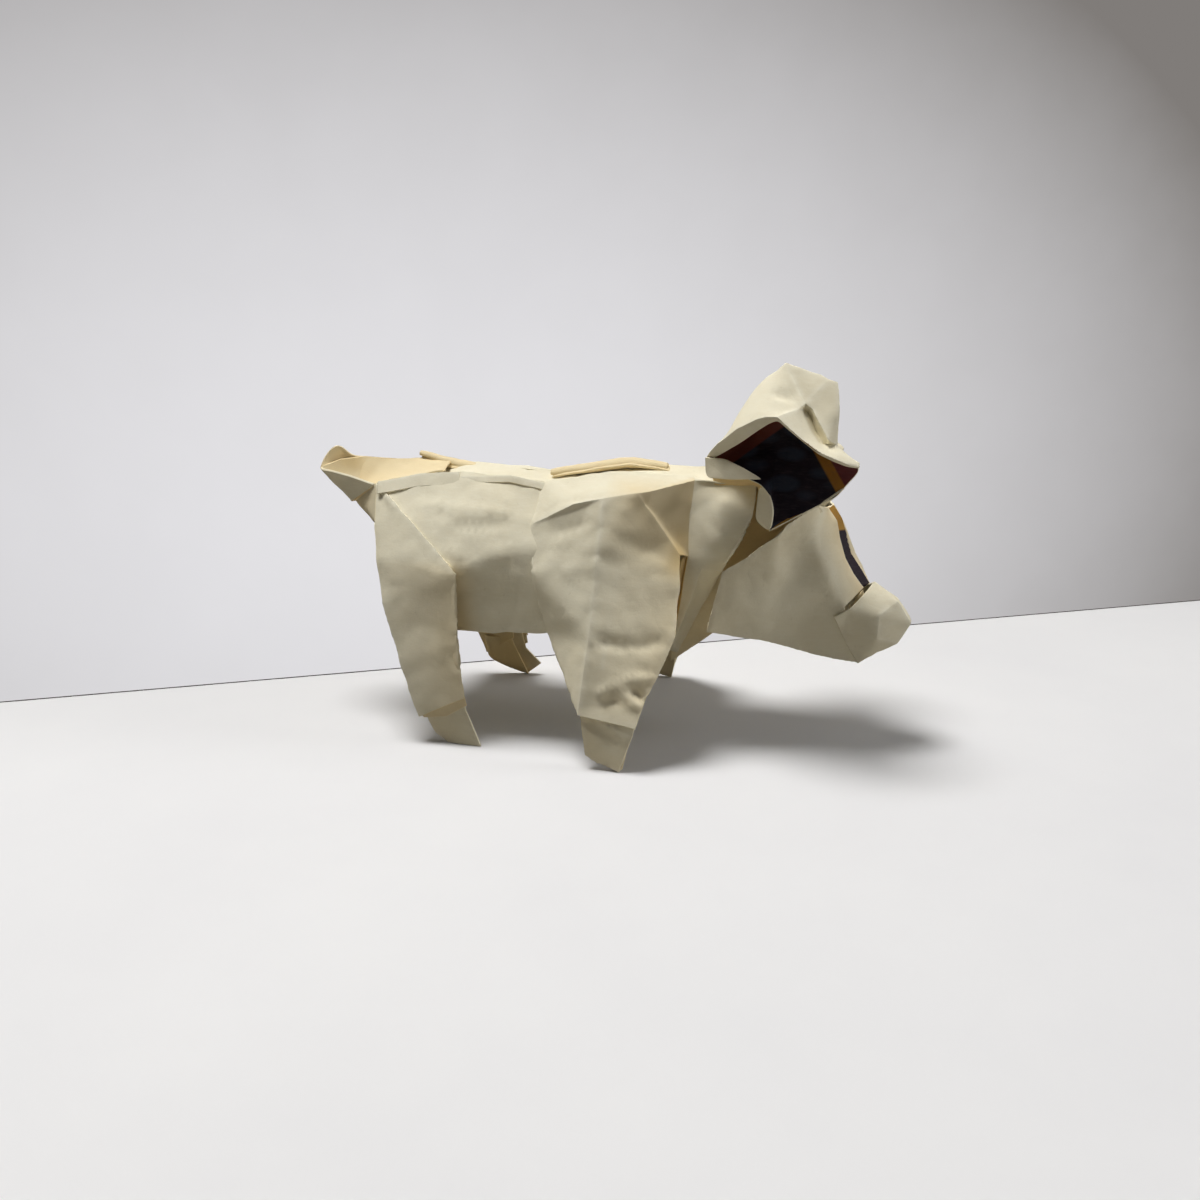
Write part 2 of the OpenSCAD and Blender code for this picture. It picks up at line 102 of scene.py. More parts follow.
# How paper differs from flat, each as (amount, size of a hollow, seed), with the lengths in millimetres
CRUMPLES = ((0.9, 9.0, 1), (0.6, 4.2, 2))
GRAIN = (0.12, 1.9, 3)
SWAYS = ((0.55, 14.0, 4), (0.12, 4.0, 5))
# At a rim the crumples keep this share of their height, and they have all of it some way further in
RIM_CALM, RIM_REACH = 0.35, 3
# How far the wear and painted highlight of a line and the painted shade of a fold reach, and how round a rim
# is
WEAR_HIGHLIGHT_REACH, FOLD_REACH, RIM_BULGE = 0.5, 1.6, 0.7


def P(x, y, z):
    return np.array((x, y, z), float)


def mix(a, b, t):
    return a + (b - a) * t


def lapped(p, n=1.0):
    """Point p moved outwards by n laps of paper."""
    return p + P(0, n * LAP, 0)


def middle(p, drop=0.0):
    """Point p brought in to the middle plane and lowered by drop."""
    return P(p[0], 0, p[2] - drop)


def bow(t):
    return math.sin(math.pi * t)


# Fold points of one half
hip = P(0, spine_half + 1.8, back_height - 1.4)
knee = P(thigh_width, flank_half + 2.5, knee_height)
hind_heel = P(hind_reach, hind_stance, hind_hem_height)
hind_pastern = hind_heel + P(shin_width, 0, 3.9)
back_step = P(flank_len / 2, spine_half, back_height + 0.7)
shoulder_top = P(shoulder_x + 0.3, spine_half + 1.2, back_height - 0.6)
withers = P(shoulder_x + 0.44 * shoulder_len, spine_half, withers_z)
withers_front = P(neck_x, spine_half, withers_z - 0.4)
shoulder_point = P(shoulder_x + 0.475 * shoulder_len, flank_half - 1.5, withers_z - 3.2)
shoulder_front = P(shoulder_x + 0.7 * shoulder_len, flank_half - 2, withers_z - 2.3)
elbow_front = P(neck_x - 0.6, flank_half - 2, withers_z - 12.3)
fore_heel = P(shoulder_x + fore_reach, fore_stance, fore_hem_height)
fore_pastern = fore_heel + P(pastern_width, 0, -2)
neck_top = P(neck_x + 0.6, spine_half + 2, withers_z - 0.7)
neck_foot = P(neck_x + 0.3, neck_half, withers_z - 13.2)
poll = P(poll_x, spine_half + 1.6, back_height + 0.9)
neck_front = P(poll_x - 0.1, neck_half - 1, back_height - 4.3)
neck_edge = P(poll_x - 1.9, neck_half - 0.4, back_height - 8.6)
throat = P(neck_x + 6, neck_half - 1, withers_z - 15.8)
chest_rear = P(neck_x - 2.3, neck_half - 0.6, belly_height - 1.4)
chest_tip = P(neck_x - 2.3, slit_half + 0.8, belly_height - 5.2)
brow = P(band_x - 3.2, 5.5, brow_height)
crown = P(poll_x + 5, spine_half + 2, back_height - 0.4)
jaw_corner = P(cheek_x, cheek_half - 1.5, jaw_height)
cheek_corner = P(cheek_x + 2.7, cheek_half - 0.3, jaw_height + 10.8)
cheek_edge = [cheek_corner + P(*p) for p in (
    (0, 0, 0), (4.0, -0.3, 2.7), (6.5, -0.6, 4.8), (8.7, -0.7, 6.4), (10.5, -1.4, 8.3), (13.3, -2.9, 10.3),
    (14.8, -4.1, 11))]
chin = P(band_x + 3.9, 1.6, jaw_height - 6.9)
nose_top = P(nose_x - 2.8, 1.6, nose_height)
nose_tip = P(nose_x - 0.3, 1.5, nose_height - 3.6)
nose_base = P(nose_x - 2.4, 1.5, nose_height - 7.4)
tail_root = P(-3.1, 0, back_height - 10.1)


def hind_rear(t):
    """Rear fold of the hind leg, a share t of the way down."""
    return mix(hip, hind_heel, t) + bow(t) * P(-1.2, 3.4, 0)


def ridge(t):
    """Ridge of the thigh, from the hip to the knee."""
    return mix(hip, knee, t) + bow(t) * P(0.2, 0.4, 0.6)


def fore_front(t):
    """Front fold of the foreleg, from the elbow to the hem."""
    return mix(elbow_front, fore_pastern, t) + bow(min(1, t * 1.1)) * P(2.4, 0, 0)


def fore_crease(t):
    """Middle crease of the foreleg, from the shoulder point to the hem."""
    return mix(shoulder_point, fore_heel, t) + bow(t) * P(0.6, 0.6, 0.4)


def shoulder_fold(t):
    """Line where the shoulder flap lies on the flank, a share t of the way down."""
    return P(
        shoulder_x + 0.3 - 1.1 * bow(min(1, t * 1.4)) + 2.9 * t * t,
        shoulder_top[1] + (flank_half - shoulder_top[1]) * min(1, 2.3 * t),
        shoulder_top[2] - (shoulder_top[2] - belly_height - 0.6) * t,
    )


class Layer:
    """One run of the sheet: triangles between fold points, with soft folds unless marked as creases."""

    def __init__(self, side=1):
        self.side = side
        self.co, self.index, self.tris, self.hard, self.golden_glow = [], {}, [], set(), []

    def point(self, p, golden_glow=0.0):
        key = tuple(int(round(c / WELD)) for c in p)
        if key not in self.index:
            self.index[key] = len(self.co)
            self.co.append(np.array(p, float))
            self.golden_glow.append(golden_glow)
        i = self.index[key]
        self.golden_glow[i] = max(self.golden_glow[i], golden_glow)
        return i

    def tri(self, a, b, c, golden_glow=0.0):
        ids = [self.point(p, golden_glow) for p in (a, b, c)]
        if len(set(ids)) == 3:
            self.tris.append(ids)

    def flap(self, rows, turned=False, golden_glow=0.0):
        for r, s in zip(rows, rows[1:]):
            for j in range(len(r) - 1):
                a, b, c, d = r[j], r[j + 1], s[j], s[j + 1]
                if turned:
                    self.tri(a, b, d, golden_glow)
                    self.tri(a, d, c, golden_glow)
                else:
                    self.tri(a, b, c, golden_glow)
                    self.tri(c, b, d, golden_glow)
        return self

    def fan(self, point, edge, golden_glow=0.0):
        for a, b in zip(edge, edge[1:]):
            self.tri(point, a, b, golden_glow)
        return self

    def crease(self, *lines):
        for line in lines:
            ids = [self.point(p) for p in line]
            for a, b in zip(ids, ids[1:]):
                self.hard.add((min(a, b), max(a, b)))
        return self


def oriented(tris):
    """The same triangles, all wound the same way round across their shared edges."""
    tris = [list(t) for t in tris]
    beside = {}
    for i, t in enumerate(tris):
        for a, b in zip(t, t[1:] + t[:1]):
            beside.setdefault((min(a, b), max(a, b)), []).append(i)
    seen = set()
    for start in range(len(tris)):
        if start in seen:
            continue
        seen.add(start)
        queue = [start]
        while queue:
            i = queue.pop()
            t = tris[i]
            for a, b in zip(t, t[1:] + t[:1]):
                for j in beside[(min(a, b), max(a, b))]:
                    if j in seen:
                        continue
                    u = tris[j]
                    if (a, b) in zip(u, u[1:] + u[:1]):
                        tris[j] = u[::-1]
                    seen.add(j)
                    queue.append(j)
    return np.array(tris, int)


def edges_of(tris):
    """Each edge once, the numbers of each triangle's edges, and how many triangles share an edge."""
    sides = np.concatenate([tris[:, [0, 1]], tris[:, [1, 2]], tris[:, [2, 0]]])
    edges, back, count = np.unique(np.sort(sides, axis=1), axis=0, return_inverse=True, return_counts=True)
    return edges, back.reshape(3, -1).T, count


def distance_to(points, segments):
    """Distance from each point to the nearest of the segments (a, b)."""
    best = np.full(len(points), FAR)
    for a, b in segments:
        ab = b - a
        t = np.clip((points - a) @ ab / max(ab @ ab, TINY), 0, 1)
        best = np.minimum(best, np.linalg.norm(points - a - t[:, None] * ab, axis=1))
    return best


def refined(co, extra, tris, source, creases, rims, fine, coarse):
    """Bisects long edges until none is over the limit, which is finer near the creases and the rims."""
    for _ in range(SPLIT_ROUNDS):
        edges, of_tri, _count = edges_of(tris)
        ends = co[edges]
        length = np.linalg.norm(ends[:, 0] - ends[:, 1], axis=1)
        middles = ends.mean(1)
        near = np.minimum(distance_to(middles, creases), distance_to(middles, rims) + RIM_EASE)
        split = length > np.clip(fine + (near - FINE_BAND) * COARSEN, fine, coarse)
        if not split.any():
            break
        longest = length[of_tri].argmax(1)
        for _ in range(SPREAD_ROUNDS):
            marked = split[of_tri].any(1)
            before = split.sum()
            split[of_tri[marked, longest[marked]]] = True
            if split.sum() == before:
                break
        number = np.full(len(edges), -1)
        number[split] = len(co) + np.arange(split.sum())
        co = np.concatenate([co, middles[split]])
        extra = np.concatenate([extra, extra[edges[split]].mean(1)])
        rows = np.arange(len(tris))
        turn = [(longest + k) % 3 for k in range(3)]
        a, b, c = (tris[rows, t] for t in turn)
        m, n, o = (number[of_tri[rows, t]] for t in turn)
        keep = m < 0
        new, src = [np.stack([a, b, c], 1)[keep]], [source[keep]]
        for take, parts in (
            (~keep & (n < 0), [(m, b, c)]),
            (~keep & (n >= 0), [(m, b, n), (m, n, c)]),
            (~keep & (o < 0), [(a, m, c)]),
            (~keep & (o >= 0), [(a, m, o), (o, m, c)]),
        ):
            for part in parts:
                new.append(np.stack(part, 1)[take])
                src.append(source[take])
        tris, source = np.concatenate(new), np.concatenate(src)
    return co, extra, tris, source


def relaxed(co, edges, moves, rounds, amount=0.5):
    """Laplacian smoothing of the vertices that may move."""
    share = np.maximum(np.bincount(edges.ravel(), minlength=len(co)), 1)
    for _ in range(rounds):
        total = np.zeros_like(co)
        np.add.at(total, edges[:, 0], co[edges[:, 1]])
        np.add.at(total, edges[:, 1], co[edges[:, 0]])
        co = co + (total / share[:, None] - co) * (amount * moves)[:, None]
    return co


def normals_of(co, tris):
    face = np.cross(co[tris[:, 1]] - co[tris[:, 0]], co[tris[:, 2]] - co[tris[:, 0]])
    out = np.zeros_like(co)
    for k in range(3):
        np.add.at(out, tris[:, k], face)
    return out / np.maximum(np.linalg.norm(out, axis=1), TINY)[:, None]


def hashed(cells, seed):
    """A number from -1 to 1 for each cell of a lattice, always the same for the same cell."""
    h = cells[:, 0] * 73856093 ^ cells[:, 1] * 19349663 ^ cells[:, 2] * 83492791 ^ seed * 297121507
    for shift, factor in ((13, 1274126177), (16, 668265263)):
        h = ((h ^ (h >> shift)) * factor) & 0xFFFFFFFF
    return ((h ^ (h >> 15)) & 0xFFFF) / 32767.5 - 1


def drift(co, scale, seed):
    """Gradient noise: a smooth height of about -0.6 to 0.6 that crosses zero every cell or so."""
    q = co / scale
    cell = np.floor(q).astype(np.int64)
    f = q - cell
    ease = f * f * f * (f * (f * 6 - 15) + 10)
    total = np.zeros(len(co))
    for corner in np.ndindex(2, 2, 2):
        at = cell + corner
        slope = np.stack([hashed(at, seed * 3 + k) for k in range(3)], 1)
        weight = np.where(corner, ease, 1 - ease).prod(1)
        total += weight * (slope * (f - corner)).sum(1)
    return total


def sway(co, scale, seed):
    """The same noise in all three directions, so that layers that lie together move together."""
    return np.stack([drift(co, scale, seed * 10 + k) for k in range(3)], 1)


def crumple(co, scale, seed):
    """Height of crumpled paper: smooth hollows that meet in sharp curved lines."""
    return np.abs(drift(co, scale, seed)) - 0.18


def dented(co, lines):
    """Height of single dents and ridges, each a line (start, end, width, height), tent-shaped across."""
    out = np.zeros(len(co))
    for a, b, width, height in lines:
        a, b = P(*a), P(*b)
        ab = b - a
        t = (co - a) @ ab / (ab @ ab)
        across = np.linalg.norm(co - a - np.clip(t, 0, 1)[:, None] * ab, axis=1)
        along = np.clip(1 - np.abs(2 * np.clip(t, 0, 1) - 1) ** 4, 0, 1)
        out += height * np.clip(1 - across / width, 0, 1) ** 1.3 * along
    return out


# What becomes the one mesh, layer by layer
mesh_co, mesh_tris, mesh_paint, mesh_kind, mesh_sharp = [], [], [], [], []
KIND_CREAM, KIND_PRINT = 0, 1


def add_layer(
    layer, away, soft=6, thick=PAPER, fine=FINE, coarse=COARSE, inside=KIND_CREAM, outside=KIND_CREAM,
    rim=0, pins=(), rough=1.0, dents=(), worn_highlight=(), glow=(), lining=0.0, crisp=0.3,
):
    """Turns a layer into a closed thin shell and adds it to the mesh. away is a point on its inner side."""
    co = np.array(layer.co)
    extra = np.array(layer.golden_glow, float)[:, None]
    tris = oriented(layer.tris)
    face = np.cross(co[tris[:, 1]] - co[tris[:, 0]], co[tris[:, 2]] - co[tris[:, 0]])
    if ((co[tris].mean(1) - P(*away)) * face).sum() < 0:
        tris = tris[:, ::-1].copy()
    edges, of_tri, count = edges_of(tris)
    hard = np.array([tuple(e) in layer.hard for e in edges])
    creases = [co[e] for e in edges[hard & (count > 1)]]
    rims = [co[e] for e in edges[count == 1]]
    touching = [np.nonzero((of_tri == e).any(1))[0] for e in np.nonzero(hard & (count == 2))[0]]
    pairs = np.array([min(t) * len(tris) + max(t) for t in touching], int)
    faces = len(tris)
    pin_ids = [i for i, p in enumerate(co) if any(np.linalg.norm(p - q) < 0.01 for q in pins)]
    co, extra, tris, source = refined(co, extra, tris, np.arange(faces), creases, rims, fine, coarse)

    # Fine edges that lie on a crease or on the rim
    edges, of_tri, count = edges_of(tris)
    order = np.argsort(of_tri.ravel(), kind="stable")
    owner = source[order // 3]
    first = np.searchsorted(of_tri.ravel()[order], np.arange(len(edges)))
    one, two = owner[first], owner[np.minimum(first + 1, len(owner) - 1)]
    on_rim = count == 1
    creased = ~on_rim & (one != two) & np.isin(np.minimum(one, two) * faces + np.maximum(one, two), pairs)
    rim_vertex, crease_vertex = np.zeros(len(co), bool), np.zeros(len(co), bool)
    rim_vertex[edges[on_rim].ravel()] = True
    crease_vertex[edges[creased].ravel()] = True
    held = rim_vertex | crease_vertex
    co = relaxed(co, edges, (~held).astype(float), soft)
    if rim:
        free = rim_vertex.copy()
        free[pin_ids] = False
        co = relaxed(co, edges[on_rim], free.astype(float), rim)
        co = relaxed(co, edges, (~held).astype(float), 3)
    if crease_vertex.any():
        co = relaxed(co, edges, (crease_vertex & ~rim_vertex).astype(float), 1, crisp)

    # Paper is never quite flat
    flip = P(1, layer.side, 1)
    from_rim, from_crease = distance_to(co, rims), distance_to(co, creases)
    normal = normals_of(co, tris) * flip
    co = co * flip
    if layer.side < 0:
        tris = tris[:, ::-1]
    worn_highlight_lines = [(P(*a), P(*b)) for a, b in worn_highlight]
    worn_highlight_near = np.minimum(from_crease, distance_to(co, worn_highlight_lines))
    glow_at = sum((amount * np.exp(-((distance_to(co, [(P(*a), P(*b))]) / reach) ** 2))
                   for a, b, reach, amount in glow), np.zeros(len(co)))
    height = sum(amount * crumple(co, size, seed) for amount, size, seed in CRUMPLES)
    height = height + GRAIN[0] * drift(co, *GRAIN[1:])
    height = height * rough * np.clip(RIM_CALM + from_rim / RIM_REACH, 0, 1) + dented(co, dents)
    moved = co
    for amount, size, seed in SWAYS:
        moved = moved + amount * sway(co, size, seed)
    co = moved + normal * height[:, None]
    normal = normals_of(co, tris)

    # The two faces of the sheet and its rounded edge
    n = len(co)
    sides = np.concatenate([tris[:, [0, 1]], tris[:, [1, 2]], tris[:, [2, 0]]])
    ordered = edges[on_rim]
    backward = ~np.isin(ordered[:, 0] * n + ordered[:, 1], sides[:, 0] * n + sides[:, 1])
    ordered[backward] = ordered[backward][:, ::-1]
    outwards = np.zeros_like(co)
    along = co[ordered[:, 1]] - co[ordered[:, 0]]
    for k in range(2):
        np.add.at(outwards, ordered[:, k], np.cross(along, normal[ordered[:, k]]))
    outwards /= np.maximum(np.linalg.norm(outwards, axis=1), TINY)[:, None]
    half = thick / 2
    rim_ids = np.nonzero(rim_vertex)[0]
    number = np.full(n, -1)
    number[rim_ids] = 2 * n + np.arange(len(rim_ids))
    base = sum(len(c) for c in mesh_co)
    a, b = ordered.T
    ma, mb = number[a], number[b]
    rim_faces = np.concatenate([np.stack(t, 1) for t in (
        (a, ma, b), (b, ma, mb), (ma, a + n, mb), (mb, a + n, b + n))])
    wear_highlight = np.exp(-((worn_highlight_near / WEAR_HIGHLIGHT_REACH) ** 2))
    fold = np.exp(-((np.minimum(from_rim, from_crease) / FOLD_REACH) ** 2))
    paint = np.stack([np.clip(extra[:, 0] + glow_at, 0, 1), wear_highlight, fold, np.full(n, lining)], 1)
    mesh_co.append(np.concatenate([co + normal * half, co - normal * half,
                                   co[rim_ids] + outwards[rim_ids] * half * RIM_BULGE]))
    mesh_paint.append(np.concatenate([paint, paint, paint[rim_ids]]))
    mesh_tris.append(np.concatenate([tris, tris[:, ::-1] + n, rim_faces]) + base)
    mesh_kind.append(np.repeat([outside, inside, KIND_CREAM], [len(tris), len(tris), len(rim_faces)]))
    mesh_sharp.append(np.concatenate([ordered, ordered + n, edges[creased], edges[creased] + n]) + base)


def under(edge, shift):
    """Edge repeated a little way inside, where the paper is folded back."""
    return [p + P(*shift) for p in edge]


CORE = (30, 0, 32)
HEAD_CORE = (75, 0, 28)

# Dents and ridges as (start, end, width, height), worn lines, painted pale as wear and highlight, as (start,
# end), and golden patches of painted glow, where light shines through the layers, as (start, end, reach,
# amount).
# The side that faces the camera is -y.
FLANK = {
    -1: dict(
        dents=(
            ((8, -10, 40.4), (33, -12, 39.6), 2.0, 0.4),
            ((16, -13, 37.8), (26, -13.4, 38.6), 1.3, -0.4),
            ((22, -14.5, 35.6), (30, -14.5, 36.8), 1.2, -0.35),
            ((10.5, -11, 40.4), (16, -12, 38.9), 1.6, -0.3),
            ((19.6, -15.6, 33.4), (22.6, -15.5, 29.6), 1.3, 0.35),
            ((15.5, -15.6, 34.5), (19.0, -15.6, 32.2), 1.5, 0.4),
            ((8, -8, 43.6), (13, -9, 42.6), 1.4, -0.25),
        ),
        glow=(((18.0, -15, 30), (18.0, -15, 20), 2.4, 0.5),),
    ),
    1: dict(
        dents=(
            ((5, 10, 39.6), (33, 12, 39.6), 4.6, 0.9),
            ((12, 15, 33.6), (34, 15, 34.4), 3.2, -0.8),
            ((16, 12, 40), (22, 13, 37.6), 1.6, -0.5),
            ((24, 15, 30), (27, 15.5, 26), 1.3, 0.3),
        ),
        glow=(((18.5, 15, 33), (18.5, 15, 20), 3.0, 0.6),),
    ),
}
THIGH = {
    -1: dict(
        dents=(
            ((0.5, -14, 32.2), (18.5, -18, 30.2), 5.0, 0.55),
            ((0.8, -7.8, 43.0), (3.6, -9.5, 38.2), 1.3, -0.45),
            ((1.6, -8.0, 42.6), (5.6, -10.5, 39.6), 1.1, 0.3),
            ((17.0, -19.5, 17.0), (19.6, -19.6, 13.6), 1.3, -0.3),
        ),
        worn_highlight=(((0.2, -9, 41), (1.2, -13, 33)),),
    ),
    1: dict(
        dents=(
            ((0.5, 14, 31.6), (18.5, 18, 31.0), 5.0, 0.5),
            ((1.0, 8, 42.6), (4.0, 10, 38.8), 1.3, -0.4),
            ((12.0, 19, 19.0), (17.0, 19.5, 16.6), 1.6, -0.3),
        ),
        glow=(((14, 18, 6), (22, 18, 8), 6.0, 0.7),),
    ),
}
FORELEG = {
    -1: dict(
        dents=(
            ((33.0, -14, 37.0), (42.0, -15, 40.0), 2.0, -0.45),
            ((44.6, -15, 37.5), (54.5, -14.4, 35.0), 2.2, -0.5),
            ((37.0, -16, 31.0), (43.6, -17, 33.6), 1.8, 0.4),
            ((43.5, -22.2, 21.8), (50.0, -21.6, 20.4), 1.9, -0.85),
            ((49.5, -21.6, 20.4), (55.6, -19.8, 21.8), 1.9, -0.7),
            ((45.6, -21.6, 23.6), (48.6, -21.6, 22.2), 1.1, 0.35),
            ((51.8, -20.6, 26.6), (55.2, -19.6, 24.8), 1.4, 0.4),
            ((44.6, -24.4, 12.6), (47.9, -23.6, 14.8), 1.4, 0.75),
            ((47.7, -23.7, 14.7), (54.0, -22.0, 15.6), 1.5, 0.7),
            ((47.7, -23.7, 14.7), (51.6, -24.2, 10.2), 1.5, 0.75),
            ((49.6, -23.0, 13.6), (52.6, -23.4, 11.8), 1.5, -0.7),
            ((44.8, -24.0, 10.4), (48.6, -24.2, 12.0), 1.5, -0.45),
            ((46.2, -18.0, 31.5), (45.0, -22.6, 18.0), 0.9, -0.16),
        ),
        worn_highlight=(((46.3, -17.5, 32.0), (45.2, -22.8, 17.0)), ((44.9, -24, 15.5), (44.4, -25, 10.5))),
        glow=(((57.0, -12, 37), (56.0, -14, 33), 2.2, 0.5),),
    ),
    1: dict(
        dents=(
            ((31.5, 14, 36.0), (42.5, 15, 40.0), 4.0, -0.6),
            ((46.0, 22, 22.5), (54.5, 20.5, 20.0), 2.2, -0.5),
            ((45.5, 23, 17.0), (52.5, 22, 13.0), 1.8, 0.45),
            ((48.0, 20, 28.0), (51.5, 18, 31.5), 1.8, -0.4),
        ),
    ),
}
HIND_HOOF = {-1: {}, 1: dict(glow=(((14, 19, 2), (22, 19, 7), 7.0, 0.7),))}
FORE_HOOF = {-1: dict(dents=(((42.6, -25, 9.2), (48.0, -25.2, 4.2), 1.5, -0.8),
                             ((45.6, -25, 8.6), (50.4, -25.2, 5.2), 1.6, 0.4))),
             1: dict(dents=(((44.0, 25, 8.0), (48.5, 25.2, 3.6), 1.6, -0.5),))}
NECK = {-1: dict(dents=(((58.6, -9, 43.6), (62.2, -10.2, 37.0), 2.4, -0.5),
                        ((61.5, -9, 43), (66.6, -10, 41.0), 2.0, 0.35),
                        ((58.0, -10.6, 35.6), (64.6, -10.4, 34.2), 2.0, -0.3))),
        1: dict(dents=(((59, 9, 43), (63.4, 10.2, 38.0), 2.4, -0.45),))}
CHEEK = {-1: dict(dents=(((72.5, -10.0, 39.5), (76.5, -8.5, 29.0), 3.6, -0.45),
                         ((77.0, -8.6, 41.0), (81.2, -6.6, 27.5), 2.2, 0.35),
                         ((64.0, -12, 27.0), (74.0, -9.0, 22.5), 5.0, 0.35))),
         1: dict(dents=(((74.5, 10.0, 37.5), (77.5, 8.5, 28.0), 3.6, -0.45),
                        ((64.0, 12, 28.0), (74.0, 9.0, 23.5), 5.0, 0.3)))}
HOOD = {-1: dict(dents=(((70.5, -12, 61.6), (74.4, -11.6, 61.2), 1.9, -0.7),)),
        1: dict(dents=(((71, 12, 60), (75, 12.4, 58.6), 1.8, -0.7),))}


def flank(side):
    middle_flank_x = (thigh_width + flank_len) / 2
    tuck = P(1.6, -0.45, 0)
    rear_tuck = P(-1.2, -0.9, 0.3)
    tops = [hip + P(0.5, -0.3, 0), back_step, shoulder_top, shoulder_top + tuck]
    upper_crease = [ridge(0.5) + rear_tuck, P(thigh_width + 1, flank_half - 3.4, back_height - 5.6),
                    shoulder_fold(0.26)]
    middle_crease = [ridge(0.83) + rear_tuck, P(middle_flank_x, flank_half + 0.3, back_height - 11.3),
                     shoulder_fold(0.4)]
    side_crease = [ridge(0.97) + P(-1.5, -0.9, 0), P(middle_flank_x, flank_half, back_height - 15.8),
                   shoulder_fold(0.56)]
    belly_fold = [P(thigh_width - 1.5, flank_half - 0.6, belly_height - 0.4),
                  P(middle_flank_x, flank_half, belly_height), shoulder_fold(1)]
    for row in (upper_crease, middle_crease, side_crease, belly_fold):
        row.append(row[2] + tuck)
    slit = [P(p[0], slit_half, p[2] - 0.8) for p in belly_fold]
    layer = Layer(side).flap([tops, upper_crease, middle_crease, side_crease, belly_fold, slit])
    layer.crease(belly_fold)
    add_layer(layer, CORE, soft=3, rough=0.8, **FLANK[side])
    hidden, corner = (P(1 + 5 * t, flank_half - 6.5 + 5 * t, back_height - flank_depth * t)
                      for t in (0.53, 0.98))
    slit_top, slit_end = tail_root + P(1, 0, -0.6), P(6, 0, belly_height)
    rump_slit = [mix(slit_top, slit_end, t) + P(0, slit_half, 0) for t in (0, 0.3, 0.6, 1)]
    rump = Layer(side).flap([[hind_rear(0.17), hind_rear(0.33), hidden, corner], rump_slit])
    rump.flap([[belly_fold[0], corner], [slit[0], rump_slit[3]]])
    rump.crease([rump_slit[3], corner])
    add_layer(rump, CORE, **HIDDEN)


def spine(side):
    hems = [hip, back_step, shoulder_top, mix(shoulder_top, withers, 0.35),
            withers, withers_front, neck_top, poll]
    layer = Layer(side).flap([hems, [middle(p, 1) for p in hems]])
    add_layer(layer, CORE, **HIDDEN)


def back_hem(side):
    rear = [lapped(p) for p in (hip + P(0.5, 0, 0.4),
                                mix(hip, back_step, 0.5) + P(0, -0.6, 0.6), back_step)]
    front = [lapped(p, 1.6) for p in (back_step + P(0.4, 0.2, -0.7),
                                      mix(back_step, shoulder_top, 0.6) + P(0, -0.3, 0.4), shoulder_top)]
    for row, shift in ((rear, (0.4, 0.7 * hem_width, -hem_width)),
                       (front, (0, 0.35 * hem_width, -hem_width / 2))):
        layer = Layer(side).flap([under(row, (0, -1.4, -0.4)), row, under(row, shift)])
        layer.crease(row)
        add_layer(layer, CORE, soft=2, thick=0.3, rough=0.3)


def hind_leg(side):
    shin = [mix(knee, hind_pastern, 0.5) - P(0.5, 0, 0), hind_pastern]
    rear = [hind_rear(t) for t in (0.17, 0.33, 0.5, 0.76, 1)]
    inward = P(0, LEG_GAP, 0)
    inner_rear = [rear[2] - inward, rear[3] - inward, rear[4] - inward / 2]
    inner_front = [p - 2 * inward - P(2.2, 0, 0) for p in (knee, shin[0], shin[1])]
    top = [hip, ridge(0.5), ridge(0.83), knee]
    front = [knee, shin[0], shin[1]]
    layer = Layer(side)
    layer.fan(ridge(0.5), [hip, rear[0], rear[1], ridge(0.83)])
    layer.tri(rear[1], ridge(0.83), knee)
    layer.flap([[rear[1], knee], [rear[2], knee], [rear[3], shin[0]], [rear[4], shin[1]]], True)
    layer.flap([top, under(top, (-1.0, -1.1, -1.0))])
    layer.flap([front, under(front, (-2.4, -0.8, 0))], golden_glow=0.3)
    layer.flap([[rear[2], rear[3], rear[4]], inner_rear])
    layer.flap([inner_rear, inner_front], golden_glow=0.35)
    layer.crease(top, front, rear[2:], inner_rear)
    add_layer(layer, (10, 0, 25), soft=6, rough=0.5, **THIGH[side])
    hind_hoof(side)


def hind_hoof(side):
    # It comes out from deep under the hem, which stands clear of it, and is turned forward to a point
    heel = lapped(hind_heel + P(1.4 if side < 0 else 0.4, 0, -0.8), -1.6)
    pastern = mix(hind_pastern, knee, 0.12) - P(1, 0, 0)
    # The further one stands on a point and the near one on its edge
    ground, tip = (P(hind_heel[0] + x, hind_stance + y, z) for x, y, z in (
        ((8.0, 1.6, SOLE), (10.8, 1.4, 2.4)) if side > 0 else ((4.6, -1, SOLE), (10.8, -0.3, SOLE))))
    outer = [[lapped(mix(hind_rear(0.76), hind_heel, 0.6) + P(1.4, 0, 0), -2.6), lapped(pastern, -2.6)],
             [heel, lapped(hind_pastern + P(-0.2, 0, -2.6), -1.6)], [ground, tip]]
    sole_bow = mix(heel, ground, 0.6) - P(0.9, 0, 0)
    hoof = Layer(side).flap(outer)
    hoof.tri(heel, sole_bow, ground)
    back = [outer[0][0], heel, sole_bow, ground]
    inner = under(back, (0.5, -0.9, 0.1))
    hoof.flap([back, inner], golden_glow=0.2)
    hoof.fan(mix(outer[0][1], tip, 0.35) + P(-3, -0.9, 0), inner, golden_glow=0.4)
    hoof.crease(back)
    add_layer(hoof, (hind_heel[0] + 4, 0, 6), soft=3, rough=0.35, **HIND_HOOF[side])
    # Inner side of the hem, which gapes a little over the hoof
    hem = [lapped(p, -0.9) for p in (hind_heel + P(0.3, 0, 0.2),
                                     mix(hind_heel, hind_pastern, 0.5) + P(0, 0, 0.4),
                                     hind_pastern + P(-0.2, 0, 0.3))]
    lip = [hem[0] + P(0.3, 0, -0.5), hem[1] + P(0.6, 0.2, -2.1), hem[2] + P(0.3, 0, -1.8)]
    cuff = Layer(side).flap([hem, lip], golden_glow=0.5)
    add_layer(cuff, (hind_heel[0] + 4, 0, 6), soft=0, thick=0.2, rough=0.2)


